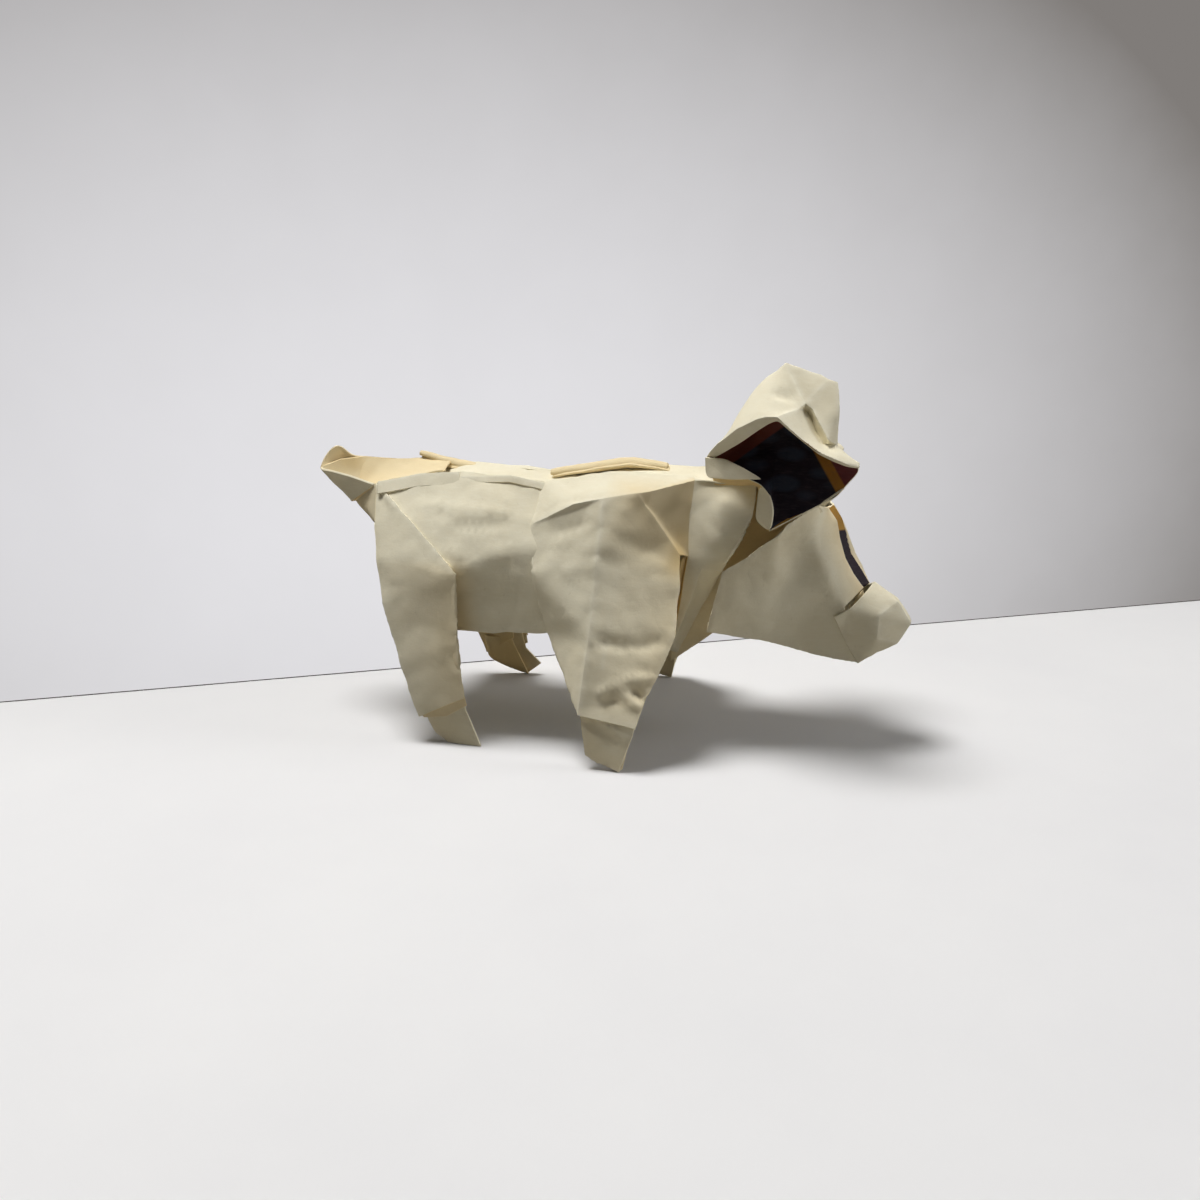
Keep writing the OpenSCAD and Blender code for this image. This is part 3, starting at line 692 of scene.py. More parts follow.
def foreleg(side):
    bend = mix(shoulder_fold(0.26), shoulder_point, 0.6) + P(0, 0.6, 1)
    crease = [fore_crease(t) for t in (0, 0.3, 0.65, 1)]
    proud = P(-0.2, LAP, 0)
    rear = [shoulder_fold(0.26) + proud, shoulder_fold(0.55) + proud, shoulder_fold(1) + proud,
            mix(shoulder_fold(1), fore_heel, 0.5) + P(-0.3, -1, 0)]
    front = [fore_front(t) for t in (0, 0.2, 0.45, 0.7, 0.85, 1)]
    tops = [shoulder_top + P(-0.2, 0.2, 0.1), mix(shoulder_top, withers, 0.35),
            withers, withers_front, neck_top]
    inward = P(0, 2 * LEG_GAP, 0)
    layer = Layer(side)
    layer.flap([tops, [rear[0], bend, shoulder_point, shoulder_front, neck_top]], True)
    layer.tri(rear[0], bend, crease[0])
    layer.flap([rear, crease], True)
    layer.fan(crease[1], [shoulder_point, shoulder_front, front[0], front[1]])
    layer.flap([[crease[1], front[1]], [crease[2], front[2]], [crease[3], front[3]], [crease[3], front[4]],
                [fore_heel, front[5]]], True)
    layer.fan(shoulder_front, [neck_top, neck_foot, elbow_front], golden_glow=0.5)
    back_edge = [tops[0], *rear, fore_heel]
    layer.flap([back_edge, under(back_edge, (1.8, -0.7, 0))])
    layer.flap([front[1:5], under(front[1:5], (-1, -2 * LEG_GAP, 0)),
                [fore_crease(t) - inward for t in (0.3, 0.5, 0.75, 0.9)]], golden_glow=0.3)
    layer.crease(crease, back_edge, front[1:5], [shoulder_point, crease[1]],
                 [shoulder_front, elbow_front, neck_foot], [shoulder_front, neck_top],
                 [rear[0], bend, shoulder_point, shoulder_front])
    add_layer(layer, (48, 0, 28), soft=5, fine=0.64, coarse=1.4, rough=0.65, **FORELEG[side])
    fore_hoof(side)


def fore_hoof(side):
    # A wedge that comes out from under the hem and goes down to one point
    face = lapped(fore_pastern - P(0.5, 0, 1.4), -0.9)
    heel = [lapped(fore_heel + P(x, y, z * fore_hem_height), -0.9)
            for x, y, z in ((0.2, 0, -0.05), (1.4, 0, -0.74), (3.2, 0.2, -0.87))]
    tip = P(fore_heel[0] + 6.9, fore_stance + 0.3, SOLE)
    top = [lapped(mix(fore_heel, fore_crease(0.65), 0.15), -1.6),
           lapped(mix(fore_pastern, fore_front(0.7), 0.2) - P(0.6, 0, 0), -1.6)]
    hoof = Layer(side).flap([top, [heel[0], face]])
    hoof.fan(face, [heel[0], heel[1], heel[2], tip])
    back = [top[0], *heel, tip]
    inner = under(back, (0.4, -0.9, 0.15))
    hoof.flap([back, inner], golden_glow=0.2)
    hoof.fan(face + P(-0.4, -0.8, 0), inner, golden_glow=0.4)
    hoof.crease(back)
    add_layer(hoof, (fore_heel[0] + 5, 0, 5), soft=3, rough=0.4, **FORE_HOOF[side])


def neck(side):
    foot = [neck_foot, P(neck_x + 2.8, neck_half, withers_z - 15.1), throat]
    tops = [neck_top, P(neck_x + 2.7, spine_half + 1.4, withers_z - 1.1), poll]
    mids = [P(neck_x, neck_half - 1.6, withers_z - 6), P(neck_x + 6, neck_half, withers_z - 7), neck_front]
    edge = [poll, neck_front, neck_edge, throat]
    layer = Layer(side).flap([tops, mids, foot])
    layer.tri(neck_front, throat, neck_edge)
    layer.flap([edge, under(edge, (-1.2, -1.2, 0))])
    layer.crease(edge)
    add_layer(layer, (62, 0, 36), soft=8, rough=0.5, **NECK[side])
    chest = Layer(side)
    chest.fan(chest_tip, [chest_rear, foot[1], throat, P(neck_x + 4.5, slit_half, withers_z - 17)])
    chest.tri(neck_foot, foot[1], chest_rear)
    chest.flap([[shoulder_fold(1), chest_rear],
                [P(shoulder_x + 3.2, slit_half, belly_height - 0.8), chest_tip]])
    chest.crease([chest_rear, chest_tip], [foot[1], chest_rear])
    add_layer(chest, (58, 0, 30), soft=4, rough=0.5)
    channel = Layer(side).flap(
        [[neck_foot, chest_rear], [neck_foot - P(0.4, 1, 0), chest_rear - P(0.6, 1, 0)],
         [elbow_front - P(0, 2, 1), mix(elbow_front, fore_pastern, 0.5) - P(0, 3, 0)]], golden_glow=1.0)
    add_layer(channel, CORE, soft=2, rough=0.3)


def cheek(side, step):
    jaw = [jaw_corner, P(cheek_x + 0.4 * cheek_len, cheek_half - 5.3, jaw_height - 2.2),
           P(cheek_x + 0.8 * cheek_len, 4.2, jaw_height - 5.1), chin]
    soft = [brow + P(*p) for p in ((-0.7, 2.5, -4), (1.8, 1.9, -8.6), (3.2, 1.1, -13), (4.2, 0.3, -16.9))]
    seam = [P(brow[0] + x + step * s, seam_half, brow[2] + z)
            for x, z, s in ((0.7, -0.9, 0.3), (2.2, -3.2, 0.3), (2.8, -6, 0.4), (3.8, -9.5, 0.4),
                            (5.3, -12.2, 0.5), (7.1, -14.6, 0.4))]
    bridge = seam
    if step:
        # The further cheek swells forward past its edge, so a band of it shows beyond the seam
        bridge = [p + P(*shift) for p, shift in zip(seam, (
            (-0.1, 1.2, 0), (0.2, 1.9, -0.4), (0.9, 2.1, -0.6), (1.5, 2.1, -0.5), (1.7, 1.9, 0),
            (0.4, 1.7, -1.5)))]
    layer = Layer(side)
    layer.fan(jaw[1], [jaw[0], *cheek_edge[1:5], soft[0], soft[1]])
    layer.tri(jaw[0], cheek_edge[0], cheek_edge[1])
    layer.fan(soft[0], [*cheek_edge[4:], brow, bridge[0], bridge[1], bridge[2]])
    layer.fan(jaw[2], [jaw[1], soft[1], soft[2], soft[3], jaw[3]])
    layer.flap([soft, [bridge[2], bridge[3], bridge[4], bridge[5]]], True)
    if step:
        layer.flap([bridge, seam])
    rear = [jaw_corner, *cheek_edge]
    layer.flap([rear, [jaw_corner + P(1.1, -1.8, 0.2), cheek_edge[0] + P(1.1, -1.6, -0.6),
                       *under(cheek_edge[1:], (0.6, -1.7, -1.2))]], golden_glow=0.1)
    layer.flap([jaw, under(jaw, (0, -1.1, 1.2))])
    layer.flap([seam, under(seam, (-1.3, -0.7, -0.5))], golden_glow=0.5)
    layer.crease(rear, jaw, seam)
    add_layer(layer, HEAD_CORE, soft=14, rough=0.4, **CHEEK[side])
    # Small golden fold that shows where the snout's band begins
    fold = Layer(side)
    corners = (5.0, -2.1, -18.3), (7.1, -2.9, -14.8), (7.5, -2.7, -16.7)
    fold.tri(*(brow + P(*p) for p in corners), golden_glow=0.6)
    add_layer(fold, HEAD_CORE, soft=0, rough=0.1)
    strip = Layer(side).flap([seam, [middle(p, 1) - P(1.6, 0, 0) for p in seam]])
    add_layer(strip, HEAD_CORE, soft=2, outside=KIND_PRINT, inside=KIND_PRINT, rough=0.2, lining=1.0)


def snout(side):
    corner = lapped(P(band_x - 0.4, 5.8, nose_height - 1.8))
    edge = [corner, corner + P(2.5, -0.5, 1.4), corner + P(4.4, -3, 3)]
    bevel = [nose_top + P(-2.9, 2.9, -1.7), nose_tip + P(-5.5, 3, -2.1)]
    top = P(nose_top[0] - 4, 0, nose_top[2] + 2.9)
    layer = Layer(side)
    layer.fan(lapped(chin), [edge[0], edge[1], bevel[1], nose_base])
    layer.fan(bevel[0], [bevel[1], edge[1], edge[2], nose_top, nose_tip, bevel[1]])
    layer.tri(bevel[1], nose_tip, nose_base)
    layer.fan(nose_top, [edge[2], top, middle(nose_top)])
    layer.flap([[nose_top, nose_tip, nose_base, lapped(chin)],
                [middle(nose_top), middle(nose_tip), middle(nose_base), middle(chin, -0.8)]])
    layer.crease([nose_top, nose_tip, nose_base], [nose_top, bevel[0], bevel[1], nose_base])
    add_layer(layer, (88, 0, 20), soft=3, rough=0.5)


def crown_layers(side):
    row = [poll, crown, brow]
    layer = Layer(side).flap([row, [middle(p, 1) for p in row]])
    add_layer(layer, HEAD_CORE, **HIDDEN)
    # Deep in the gap between the neck and the cheek the light comes through golden layers
    mids = [throat + P(*p) for p in ((3.5, -3.9, 6.8), (7, -3.9, 4.8), (13, -5, 2.8))]
    feet = [throat + P(*p) for p in ((-0.6, -3.5, -0.9), (3, -3.5, -2.2), (9, -4.5, -4.2))]
    inner = Layer(side).flap([[poll - P(0, 1.4, 1), crown - P(1, 0, 1.4), brow - P(2, 0, 1.6)], mids, feet],
                             golden_glow=1.0)
    add_layer(inner, HEAD_CORE, **HIDDEN)
    # The throat closes the gap between the chest and the cheeks
    foot = chest_tip - P(1.1, 0.4, 1.8)
    rear = [throat - P(3.5, 3.5, 1), throat - P(6.4, 4.5, 8.6), chest_tip + P(-1, -0.4, 1), foot]
    front = [throat + P(1.6, -3.5, -0.7), throat - P(0, 3.5, 7.2), jaw_corner + P(1.1, -5, -1), foot]
    gorge = Layer(side).flap([rear, front], golden_glow=0.35)
    gorge.crease([front[2], front[3]])
    add_layer(gorge, HEAD_CORE, soft=2, rough=0.4)


def ear(side, reach, height):
    root = P(cheek_x - 1, neck_half - 1, brow_height)

    def line(*shares):
        """Points at shares of the ear's length forward, of its cup outwards and of its rise upwards."""
        return [root + P(x * ear_len * reach, out * ear_cup, up * ear_rise * height)
                for x, out, up in shares]

    # Inner wall of the cup from the rear corner to the tip: foot, middle and top edge
    wall = [line(*row) for row in (
        ((0, 0, 0.26), (0, 0, 0.3), (0, 0, 0.33)),
        ((0.14, 0.12, 0.27), (0.16, -0.1, 0.4), (0.165, -0.05, 0.55)),
        ((0.25, 0.22, 0.25), (0.2, -0.2, 0.45), (0.182, -0.2, 0.68)),
        ((0.363, 0.3, 0.208), (0.32, -0.2, 0.48), (0.285, -0.27, 0.836)),
        ((0.43, 0.28, 0.12), (0.42, -0.25, 0.47), (0.379, -0.28, 0.954)),
        ((0.442, 0.22, -0.136), (0.48, -0.25, 0.42), (0.482, -0.28, 1.007)),
        ((0.569, 0.18, -0.06), (0.6, -0.25, 0.48), (0.717, -0.24, 0.928)),
        ((0.66, 0.14, 0.0), (0.7, -0.24, 0.5), (0.767, -0.2, 0.901)),
        ((0.745, 0.1, 0.053), (0.76, -0.22, 0.5), (0.824, -0.2, 0.888)),
        ((0.79, 0.08, 0.08), (0.8, -0.18, 0.46), (0.846, 0, 0.738)),
        ((0.82, 0.07, 0.095), (0.83, -0.12, 0.4), (0.85, 0.1, 0.607)),
        ((0.85, 0.05, 0.109), (0.87, -0.05, 0.32), (0.844, 0.18, 0.482)),
        ((0.88, 0.05, 0.14), (0.94, 0.02, 0.29), (0.932, 0.2, 0.434)),
        ((0.904, 0.05, 0.174), (0.99, 0.1, 0.29), (1.0, 0.22, 0.372)),
    )]
    tops = [row[2] for row in wall]
    star, = line((0.638, 0.1, 0.749))
    # Rear half of the hood, from the top edge over the dome to the rim and its hem, which is turned in
    dome = [line(*row) for row in (
        ((0, 0.05, 0.36), (0.007, 0.1, 0.383), (0.05, 0.1, 0.37)),
        ((0.12, 0.12, 0.52), (0.076, 0.3, 0.475), (0.15, 0.22, 0.44)),
        ((0.2, 0.15, 0.66), (0.211, 0.45, 0.587), (0.25, 0.36, 0.506)),
        ((0.31, 0.2, 0.76), (0.344, 0.6, 0.657), (0.36, 0.5, 0.589)),
        ((0.44, 0.16, 0.83), (0.415, 0.66, 0.68), (0.425, 0.58, 0.634)),
    )]
    dome = [[mid, mix(mid, outer, 0.45), outer, turned] for mid, outer, turned in dome]
    dome.append([star, *line((0.601, 0.26, 0.718), (0.485, 0.7, 0.682), (0.487, 0.62, 0.66))])
    rim = [row[2] for row in dome] + line(
        (0.641, 0.66, 0.54), (0.744, 0.64, 0.465), (0.839, 0.55, 0.41),
        (0.931, 0.45, 0.364), (1.004, 0.3, 0.339))
    hem = [row[3] for row in dome] + line(
        (0.642, 0.57, 0.524), (0.743, 0.55, 0.447), (0.835, 0.46, 0.392),
        (0.928, 0.36, 0.347), (0.994, 0.26, 0.332))
    # Its front half is dented at the star, and a flap hangs over a fold that runs down from there
    notch = dome[5][1]
    over = [notch, star, *line((0.682, 0.12, 0.716), (0.731, 0.24, 0.631), (0.794, 0.34, 0.524)), tops[11]]
    beneath = [notch, *line((0.635, 0, 0.701), (0.665, 0, 0.678), (0.714, 0.1, 0.562), (0.76, 0.22, 0.486)),
               tops[11]]
    layer = Layer(side)
    layer.flap(wall)
    layer.flap([[top, *row] for top, row in zip(tops, dome)])
    layer.tri(star, tops[5], tops[6])
    layer.tri(star, tops[6], tops[7])
    layer.fan(tops[9], [tops[10], tops[11], over[4], over[3], over[2], star, tops[7], tops[8]])
    layer.flap([over, beneath])
    layer.fan(rim[6], [rim[5], notch, beneath[1], beneath[2]])
    layer.flap([[*beneath[2:], tops[12], tops[13]], [rim[6], rim[7], rim[8], rim[8], rim[9], rim[10]]])
    layer.flap([rim[5:], hem[5:]])
    layer.tri(tops[13], rim[10], hem[10])
    layer.crease(tops[5:11], [star, tops[5]], [notch, rim[5]], [star, tops[7]], over, beneath, rim)
    foot = [row[0] for row in wall]
    add_layer(layer, (root[0] + 12, root[1] + 6, root[2] + 10), soft=6, thick=0.22, fine=0.52, coarse=1.2,
              inside=KIND_PRINT, rim=3, pins=(foot[0], foot[5], foot[-1], hem[0], hem[10]), rough=0.4,
              crisp=0.45, **HOOD[side])
    rear_crown = [poll - P(7, 0, 0.4), poll - P(4, 0, 0.3), poll, mix(poll, crown, 0.4)]
    front_crown = [mix(poll, crown, 0.4), crown, brow + P(-1, 0, 0.2), brow]
    skirt = Layer(side).flap([[foot[i] - P(0, 3.2, 0) for i in (0, 1, 3, 5)], rear_crown], golden_glow=1.0)
    add_layer(skirt, HEAD_CORE, soft=3, rough=0.4)
    front = Layer(side).flap([[foot[i] for i in (5, 6, 8, 13)], front_crown])
    add_layer(front, HEAD_CORE, soft=3, rough=0.4, outside=KIND_PRINT, lining=1.0)
    # Rounded petal under the rear corner, and the turned edge in front of it
    start, end = (-0.006, 0.1, 0.362), (0.367, 0.42, 0.257)
    petal = Layer(side).flap([line(start, (0.125, 0.24, 0.369), (0.252, 0.38, 0.321), end),
                              line((0.004, 0.14, 0.227), (0.14, 0.3, 0.24), (0.25, 0.38, 0.25), end)])
    add_layer(petal, HEAD_CORE, soft=4, rim=3, pins=line(end, start), rough=0.4)
    turned = Layer(side).flap([[neck_front + P(*p) for p in row] for row in (
        ((1.0, 1.9, 5.5), (0.8, 1.7, 3.7), (0.7, 1.5, 1.4), (0.7, 1.5, -0.3), (3.1, 2.1, -2.0)),
        ((1.5, 2.8, 5.9), (3.0, 3.3, 4.3), (3.7, 3.5, 1.8), (3.5, 3.1, -0.7), (3.2, 2.5, -1.9)))])
    add_layer(turned, HEAD_CORE, soft=3, rim=5, rough=0.4)


def tail():
    def side_of(p, n):
        return P(p[0], n * p[1], p[2])

    tip = P(0.3 - tail_len, 0, back_height - 0.3)
    keel = [P(-0.78 * tail_len, 0, tip[2] - 2.9), P(-0.56 * tail_len, 0, tip[2] - 5.8)]
    near_hip, near_step = side_of(hip, -1), side_of(back_step, -1)
    near_wall = [P(-0.89 * tail_len, -0.4 * tail_half, tip[2] - 0.1),
                 P(-0.46 * tail_len, -tail_half, tip[2] - 0.5), near_hip + P(-0.5, 0.2, -0.2)]
    far_wall = [P(-0.75 * tail_len, 0.5 * tail_half, tip[2] + 1.4),
                P(-0.48 * tail_len, tail_half + 0.6, tip[2] + 1.7), hip + P(1.5, -1.8, 2.0)]
    # The trough runs on over the rump, behind the nearer hem
    beyond = [P(-1.8, tail_half + 0.8, tip[2] + 1.0), P(5, spine_half - 0.5, back_height + 1.2),
              P(10.5, spine_half - 0.8, back_height + 1.0)]
    bed = [P(-3.2, 0, back_height - 3.0), P(3, -0.4, back_height - 0.9), P(11, -0.8, back_height + 0.2)]
    near_side = [near_hip + P(-0.8, 1, -0.6), near_hip + P(2.5, 1.2, 0.6), near_step + P(-3, 0.8, 0)]
    root = [keel[1] + P(0.8, 0, 0), tail_root]
    curl = [tip, tip + P(0.4, 1, 0.19 * tail_curl), tip + P(2.2, 2, 0.42 * tail_curl),
            tip + P(3.2, 2.6, 0.38 * tail_curl), tip + P(4.6, 3.2, 0.2 * tail_curl), far_wall[1]]
    hollow = tip + P(3.4, 4, 0.3)
    trough = Layer()
    for wall in (near_wall, far_wall):
        trough.fan(keel[0], [tip, wall[0], wall[1], keel[1]])
        trough.tri(keel[1], wall[1], wall[2])
    trough.crease([tip, keel[0], keel[1]])
    add_layer(trough, (-5, 0, back_height + 20), soft=4, rough=0.7, thick=0.42,
              glow=(((-12, 2.5, 46), (4, 5, 46), 3.2, 0.75),))
    lining = Layer().flap([[far_wall[1], *beyond], [keel[1] + P(1, 0, 1.2), *bed]], golden_glow=0.6)
    lining.flap([bed, near_side], golden_glow=0.5)
    add_layer(lining, (-5, 0, back_height + 20), soft=3, rough=1.0, rim=2, thick=0.3)
    curled = Layer().fan(hollow, [tip, far_wall[0], far_wall[1]], golden_glow=0.7)
    curled.fan(hollow, curl, golden_glow=0.4)
    add_layer(curled, (-5, -20, back_height), soft=6, coarse=0.8, rim=4, pins=(tip, far_wall[1]), rough=0.4)
    inner = Layer()
    inner.tri(keel[1], far_wall[2], hip, golden_glow=1.0)
    inner.tri(root[0], keel[1], mix(near_hip, near_wall[2], 0.3), golden_glow=0.6)
    for n in (-1, 1):
        inner.fan(root[0], [root[1], side_of(hind_rear(0.17), n), side_of(hip, n)], golden_glow=0.2)
    add_layer(inner, (10, 0, 38), soft=2, rough=0.4)


def roll(top, radii, flat, drop):
    """Hem rolled along the line top: an arch from its near foot to its far one, and a layer below it."""
    rows = [[p + P(0, r * math.sin(a), r * flat * (math.cos(a) - 1)) for p, r in zip(top, radii)]
            for a in map(math.radians, (-110, -75, -45, 0, 45, 100))]
    layer = Layer().flap(rows, golden_glow=0.6)
    add_layer(layer, (20, 3, 40), soft=2, rough=0.6)
    lower = Layer().flap([[p + P(0.5, -1.5 * r, -drop) for p, r in zip(top, radii)],
                          [p + P(0.3, 0.4 * r, -0.5 * drop) for p, r in zip(top, radii)]], golden_glow=0.6)
    add_layer(lower, (20, 3, 30), soft=2, rough=0.6)


def back_rolls():
    # Share of the flank's or the shoulder's length, distance in from the far hem, height above it
    tab = ((0.14, 0.2, roll_height), (0.39, 0.2, 1.2), (0.64, 0.6, -0.3), (0.98, 1.2, -1.2))
    fold = ((-0.03, 2.2, 0.3), (0.27, 2.2, 2.2), (0.51, 2.2, withers_rise + 1.4),
            (0.78, 2.2, withers_rise + 0.4))
    for start, length, line, radii, flat, drop in (
        (0, flank_len, tab, (0.5, 1.3, 1.3, 0.8), 0.8, 1.5),
        (shoulder_x, shoulder_len, fold, (0.7, 1.6, 1.7, 0.9), 0.75, 1.1),
    ):
        top = [P(start + x * length, spine_half - y, back_height + z) for x, y, z in line]
        roll(top, radii, flat, drop)


for s in (-1, 1):
    flank(s)
    spine(s)
    back_hem(s)
    hind_leg(s)
    foreleg(s)
    neck(s)
    snout(s)
    crown_layers(s)
cheek(-1, 0)
cheek(1, seam_step)
ear(-1, 1.0, 1.0)
# The further ear is folded a little smaller
ear(1, 0.86, 0.9)
tail()
back_rolls()

co = np.concatenate(mesh_co) - P(middle_x, 0, 0)
tris = np.concatenate(mesh_tris)
paint = np.concatenate(mesh_paint)
kind = np.concatenate(mesh_kind)
low, high = (np.array(v) / MM for v in (cad_low, cad_high))
# A few vertices pass the part's box or the floor by hundredths of a millimetre, and are brought back
co = np.clip(co, low + P(0, 0, FLOOR_GAP), high)
data = bpy.data.meshes.new("folded_paper")
data.from_pydata((co * MM).tolist(), [], tris.tolist())
data.polygons.foreach_set("material_index", kind.astype(np.int32))
for column, name in enumerate(("golden_glow", "wear_highlight", "fold", "lining")):
    values = data.attributes.new(name, "FLOAT", "POINT").data
    values.foreach_set("value", paint[:, column].astype(np.float32))
data.polygons.foreach_set("use_smooth", np.ones(len(tris), bool))
sharp, ends = np.sort(np.concatenate(mesh_sharp), axis=1), np.zeros(2 * len(data.edges), int)
data.edges.foreach_get("vertices", ends)
ends = np.sort(ends.reshape(-1, 2), axis=1)
flags = np.isin(ends[:, 0] * len(co) + ends[:, 1], sharp[:, 0] * len(co) + sharp[:, 1])
data.attributes.new("sharp_edge", "BOOLEAN", "EDGE").data.foreach_set("value", flags)
data.update()
data.validate()
sheet = bpy.data.objects.new("folded_paper", data)
bpy.context.scene.collection.objects.link(sheet)


def colour(r, g, b):
    """Linear colour of an sRGB one given in 0 to 255."""
    def lin(c):
        c = c / 255
        return c / 12.92 if c <= 0.04045 else ((c + 0.055) / 1.055) ** 2.4
    return (lin(r), lin(g), lin(b), 1)


class Nodes:
    """Short hand for building the nodes of a material or a world."""

    def __init__(self, owner):
        self.owner = owner
        owner.use_nodes = True
        self.tree = owner.node_tree
        self.tree.nodes.clear()

    def add(self, kind, inputs=None, **props):
        node = self.tree.nodes.new(kind)
        for key, value in props.items():
            setattr(node, key, value)
        for key, value in (inputs or {}).items():
            if isinstance(value, bpy.types.NodeSocket):
                self.tree.links.new(value, node.inputs[key])
            else:
                node.inputs[key].default_value = value
        return node

    def place(self):
        """Where a point of the surface is, in its object's own frame."""
        return self.add("ShaderNodeTexCoord").outputs["Object"]

    def noise(self, place, scale, detail=3.0, rough=0.5):
        return self.add("ShaderNodeTexNoise", {"Vector": place, "Scale": scale, "Detail": detail,
                                               "Roughness": rough}).outputs["Fac"]

    def ramp(self, value, low, high, start=0.0, end=1.0):
        return self.add("ShaderNodeMapRange", {"Value": value, "From Min": low, "From Max": high,
                                               "To Min": start, "To Max": end}).outputs["Result"]

    def math(self, how, a, b=0.0):
        return self.add("ShaderNodeMath", {0: a, 1: b}, operation=how).outputs[0]

    def vector(self, how, a, b=(0, 0, 0)):
        return self.add("ShaderNodeVectorMath", {0: a, 1: b}, operation=how).outputs

    def blend(self, amount, a, b):
        """Colour a, with a share of colour b laid over it."""
        node = self.add("ShaderNodeMix", {"Factor": amount, 6: a, 7: b}, data_type="RGBA")
        return node.outputs[2]

    def attribute(self, name):
        return self.add("ShaderNodeAttribute", attribute_name=name).outputs["Fac"]

    def bump(self, height, distance, **inputs):
        return self.add("ShaderNodeBump", {"Height": height, "Strength": BUMP_STRENGTH, "Distance": distance,
                                           **inputs}).outputs["Normal"]

    def matt(self, tone, rough, shine, **inputs):
        return self.add("ShaderNodeBsdfPrincipled", {"Base Color": tone, "Roughness": rough,
                                                     "Specular IOR Level": shine, **inputs}).outputs[0]

    def finish(self, tone, rough, height, **below):
        """Surface of paper, with the tooth's height laid over the normal of larger creases, if any."""
        normal = self.bump(height, TOOTH_DEPTH, **below)
        self.add("ShaderNodeOutputMaterial", {"Surface": self.matt(tone, rough, PAPER_SHINE, Normal=normal)})
        return self.owner


# Relief of the paper's surface, with the depths in metres, and how much paper and stage shine
BUMP_STRENGTH, TOOTH_DEPTH, CREASE_DEPTH = 0.35, 0.00012, 0.001
PAPER_SHINE, STAGE_SHINE, STAGE_ROUGH = 0.25, 0.2, 0.85
# How many grains of each pattern go on a metre
TOOTH, FELT, FIBRE_LENGTHS, FIBRE_WIDTHS = 2600, 700, 500, 2600
BLOTCHES, SPECKS, GRIME_SHADE_SPOTS, MOTTLE, FLOOR_BLOTCHES, WALL_BLOTCHES = 90, 1500, 260, 400, 14, 60
# Creases left by handling, as (creases to a metre, depth)
HANDLING = ((85, 1.0), (190, 0.5))
# Colours of the cream side; the grey, the pale and the golden ones are partly or wholly painted shade,
# highlight and glow
CREAM, CREAM_BLOTCH, CREAM_FIBRE = colour(244, 237, 213), colour(238, 229, 202), colour(248, 243, 223)
SPECKLED, FOLD_GREY_SHADE, PALE_HIGHLIGHT = colour(176, 160, 124), colour(206, 197, 168), colour(247, 241, 220)
LIT_THROUGH = colour(238, 208, 146)
# Colours of the printed side
DARK, DARK_MOTTLED, OVAL_BLUE = colour(30, 25, 36), colour(42, 33, 44), colour(60, 70, 88)
RUST, OCHRE, RED, WORN = colour(118, 60, 48), colour(176, 122, 46), colour(110, 50, 52), colour(120, 110, 110)
SEAM_OCHRE, SEAM_DARK = colour(196, 150, 70), colour(52, 40, 50)
# Colours of the stage, and the one with which its paper lights the pig
FLOOR, FLOOR_BLOTCH = colour(241, 241, 243), colour(236, 236, 239)
WALL, WALL_PAINTED_SHADE = colour(227, 226, 229), colour(128, 124, 121)
# Painted shade of the thin gap under the wall
GAP_DARK, GAP_DARKER = colour(70, 64, 62), colour(60, 56, 54)
BOUNCE = colour(164, 160, 152)


def paper_surface(n, place):
    """Height of the paper's tooth and fibres, and the roughness they give."""
    tooth = n.noise(place, TOOTH, 4, 0.6)
    felt = n.noise(place, FELT, 3, 0.55)
    scale = (FIBRE_LENGTHS, FIBRE_LENGTHS, FIBRE_WIDTHS)
    fibres = n.add("ShaderNodeMapping", {"Vector": place, "Scale": scale, "Rotation": (0.3, 0.5, 0.2)})
    strands = n.noise(fibres.outputs[0], 1.0, 3, 0.7)
    height = n.math("ADD", n.math("MULTIPLY", tooth, 0.4), n.math("MULTIPLY", felt, 0.5))
    height = n.math("ADD", height, n.math("MULTIPLY", strands, 0.25))
    return height, strands, felt


def handled(n, place):
    """Height of the faint creases that handling leaves: hollows that meet in sharp lines."""
    total = 0.0
    for scale, amount in HANDLING:
        hollow = n.math("ABSOLUTE", n.math("SUBTRACT", n.noise(place, scale, 1, 0.5), 0.5))
        total = n.math("ADD", n.math("MULTIPLY", hollow, amount), total)
    return total


def cream_paper():
    n = Nodes(bpy.data.materials.new("cream_paper"))
    place = n.place()
    height, strands, felt = paper_surface(n, place)
    blotch = n.ramp(n.noise(place, BLOTCHES, 4, 0.6), 0.35, 0.7)
    tone = n.blend(blotch, CREAM, CREAM_BLOTCH)
    tone = n.blend(n.ramp(strands, 0.45, 0.7, 0.0, 0.35), tone, CREAM_FIBRE)
    speck = n.ramp(n.noise(place, SPECKS, 2, 0.4), 0.70, 0.76)
    tone = n.blend(n.math("MULTIPLY", speck, 0.12), tone, SPECKLED)
    # Along folds and rims the paper is painted a little grey: partly grime of handling, partly painted shade.
    # The crease itself is painted pale: partly burnished, partly painted highlight.
    grime_and_shade = n.ramp(n.noise(place, GRIME_SHADE_SPOTS, 4, 0.65), 0.42, 0.72, 0.0, 0.38)
    tone = n.blend(n.math("MULTIPLY", n.attribute("fold"), grime_and_shade), tone, FOLD_GREY_SHADE)
    burnish_and_highlight = n.ramp(felt, 0.35, 0.6, 0.3, 0.9)
    tone = n.blend(n.math("MULTIPLY", n.attribute("wear_highlight"), burnish_and_highlight), tone, PALE_HIGHLIGHT)
    # Painted glow: where light comes through the layers, and in the recesses between them, the paper is
    # painted golden
    tone = n.blend(n.math("MULTIPLY", n.attribute("golden_glow"), 0.85), tone, LIT_THROUGH)
    rough = n.ramp(felt, 0.3, 0.7, 0.72, 0.88)
    return n.finish(tone, rough, height, Normal=n.bump(handled(n, place), CREASE_DEPTH))


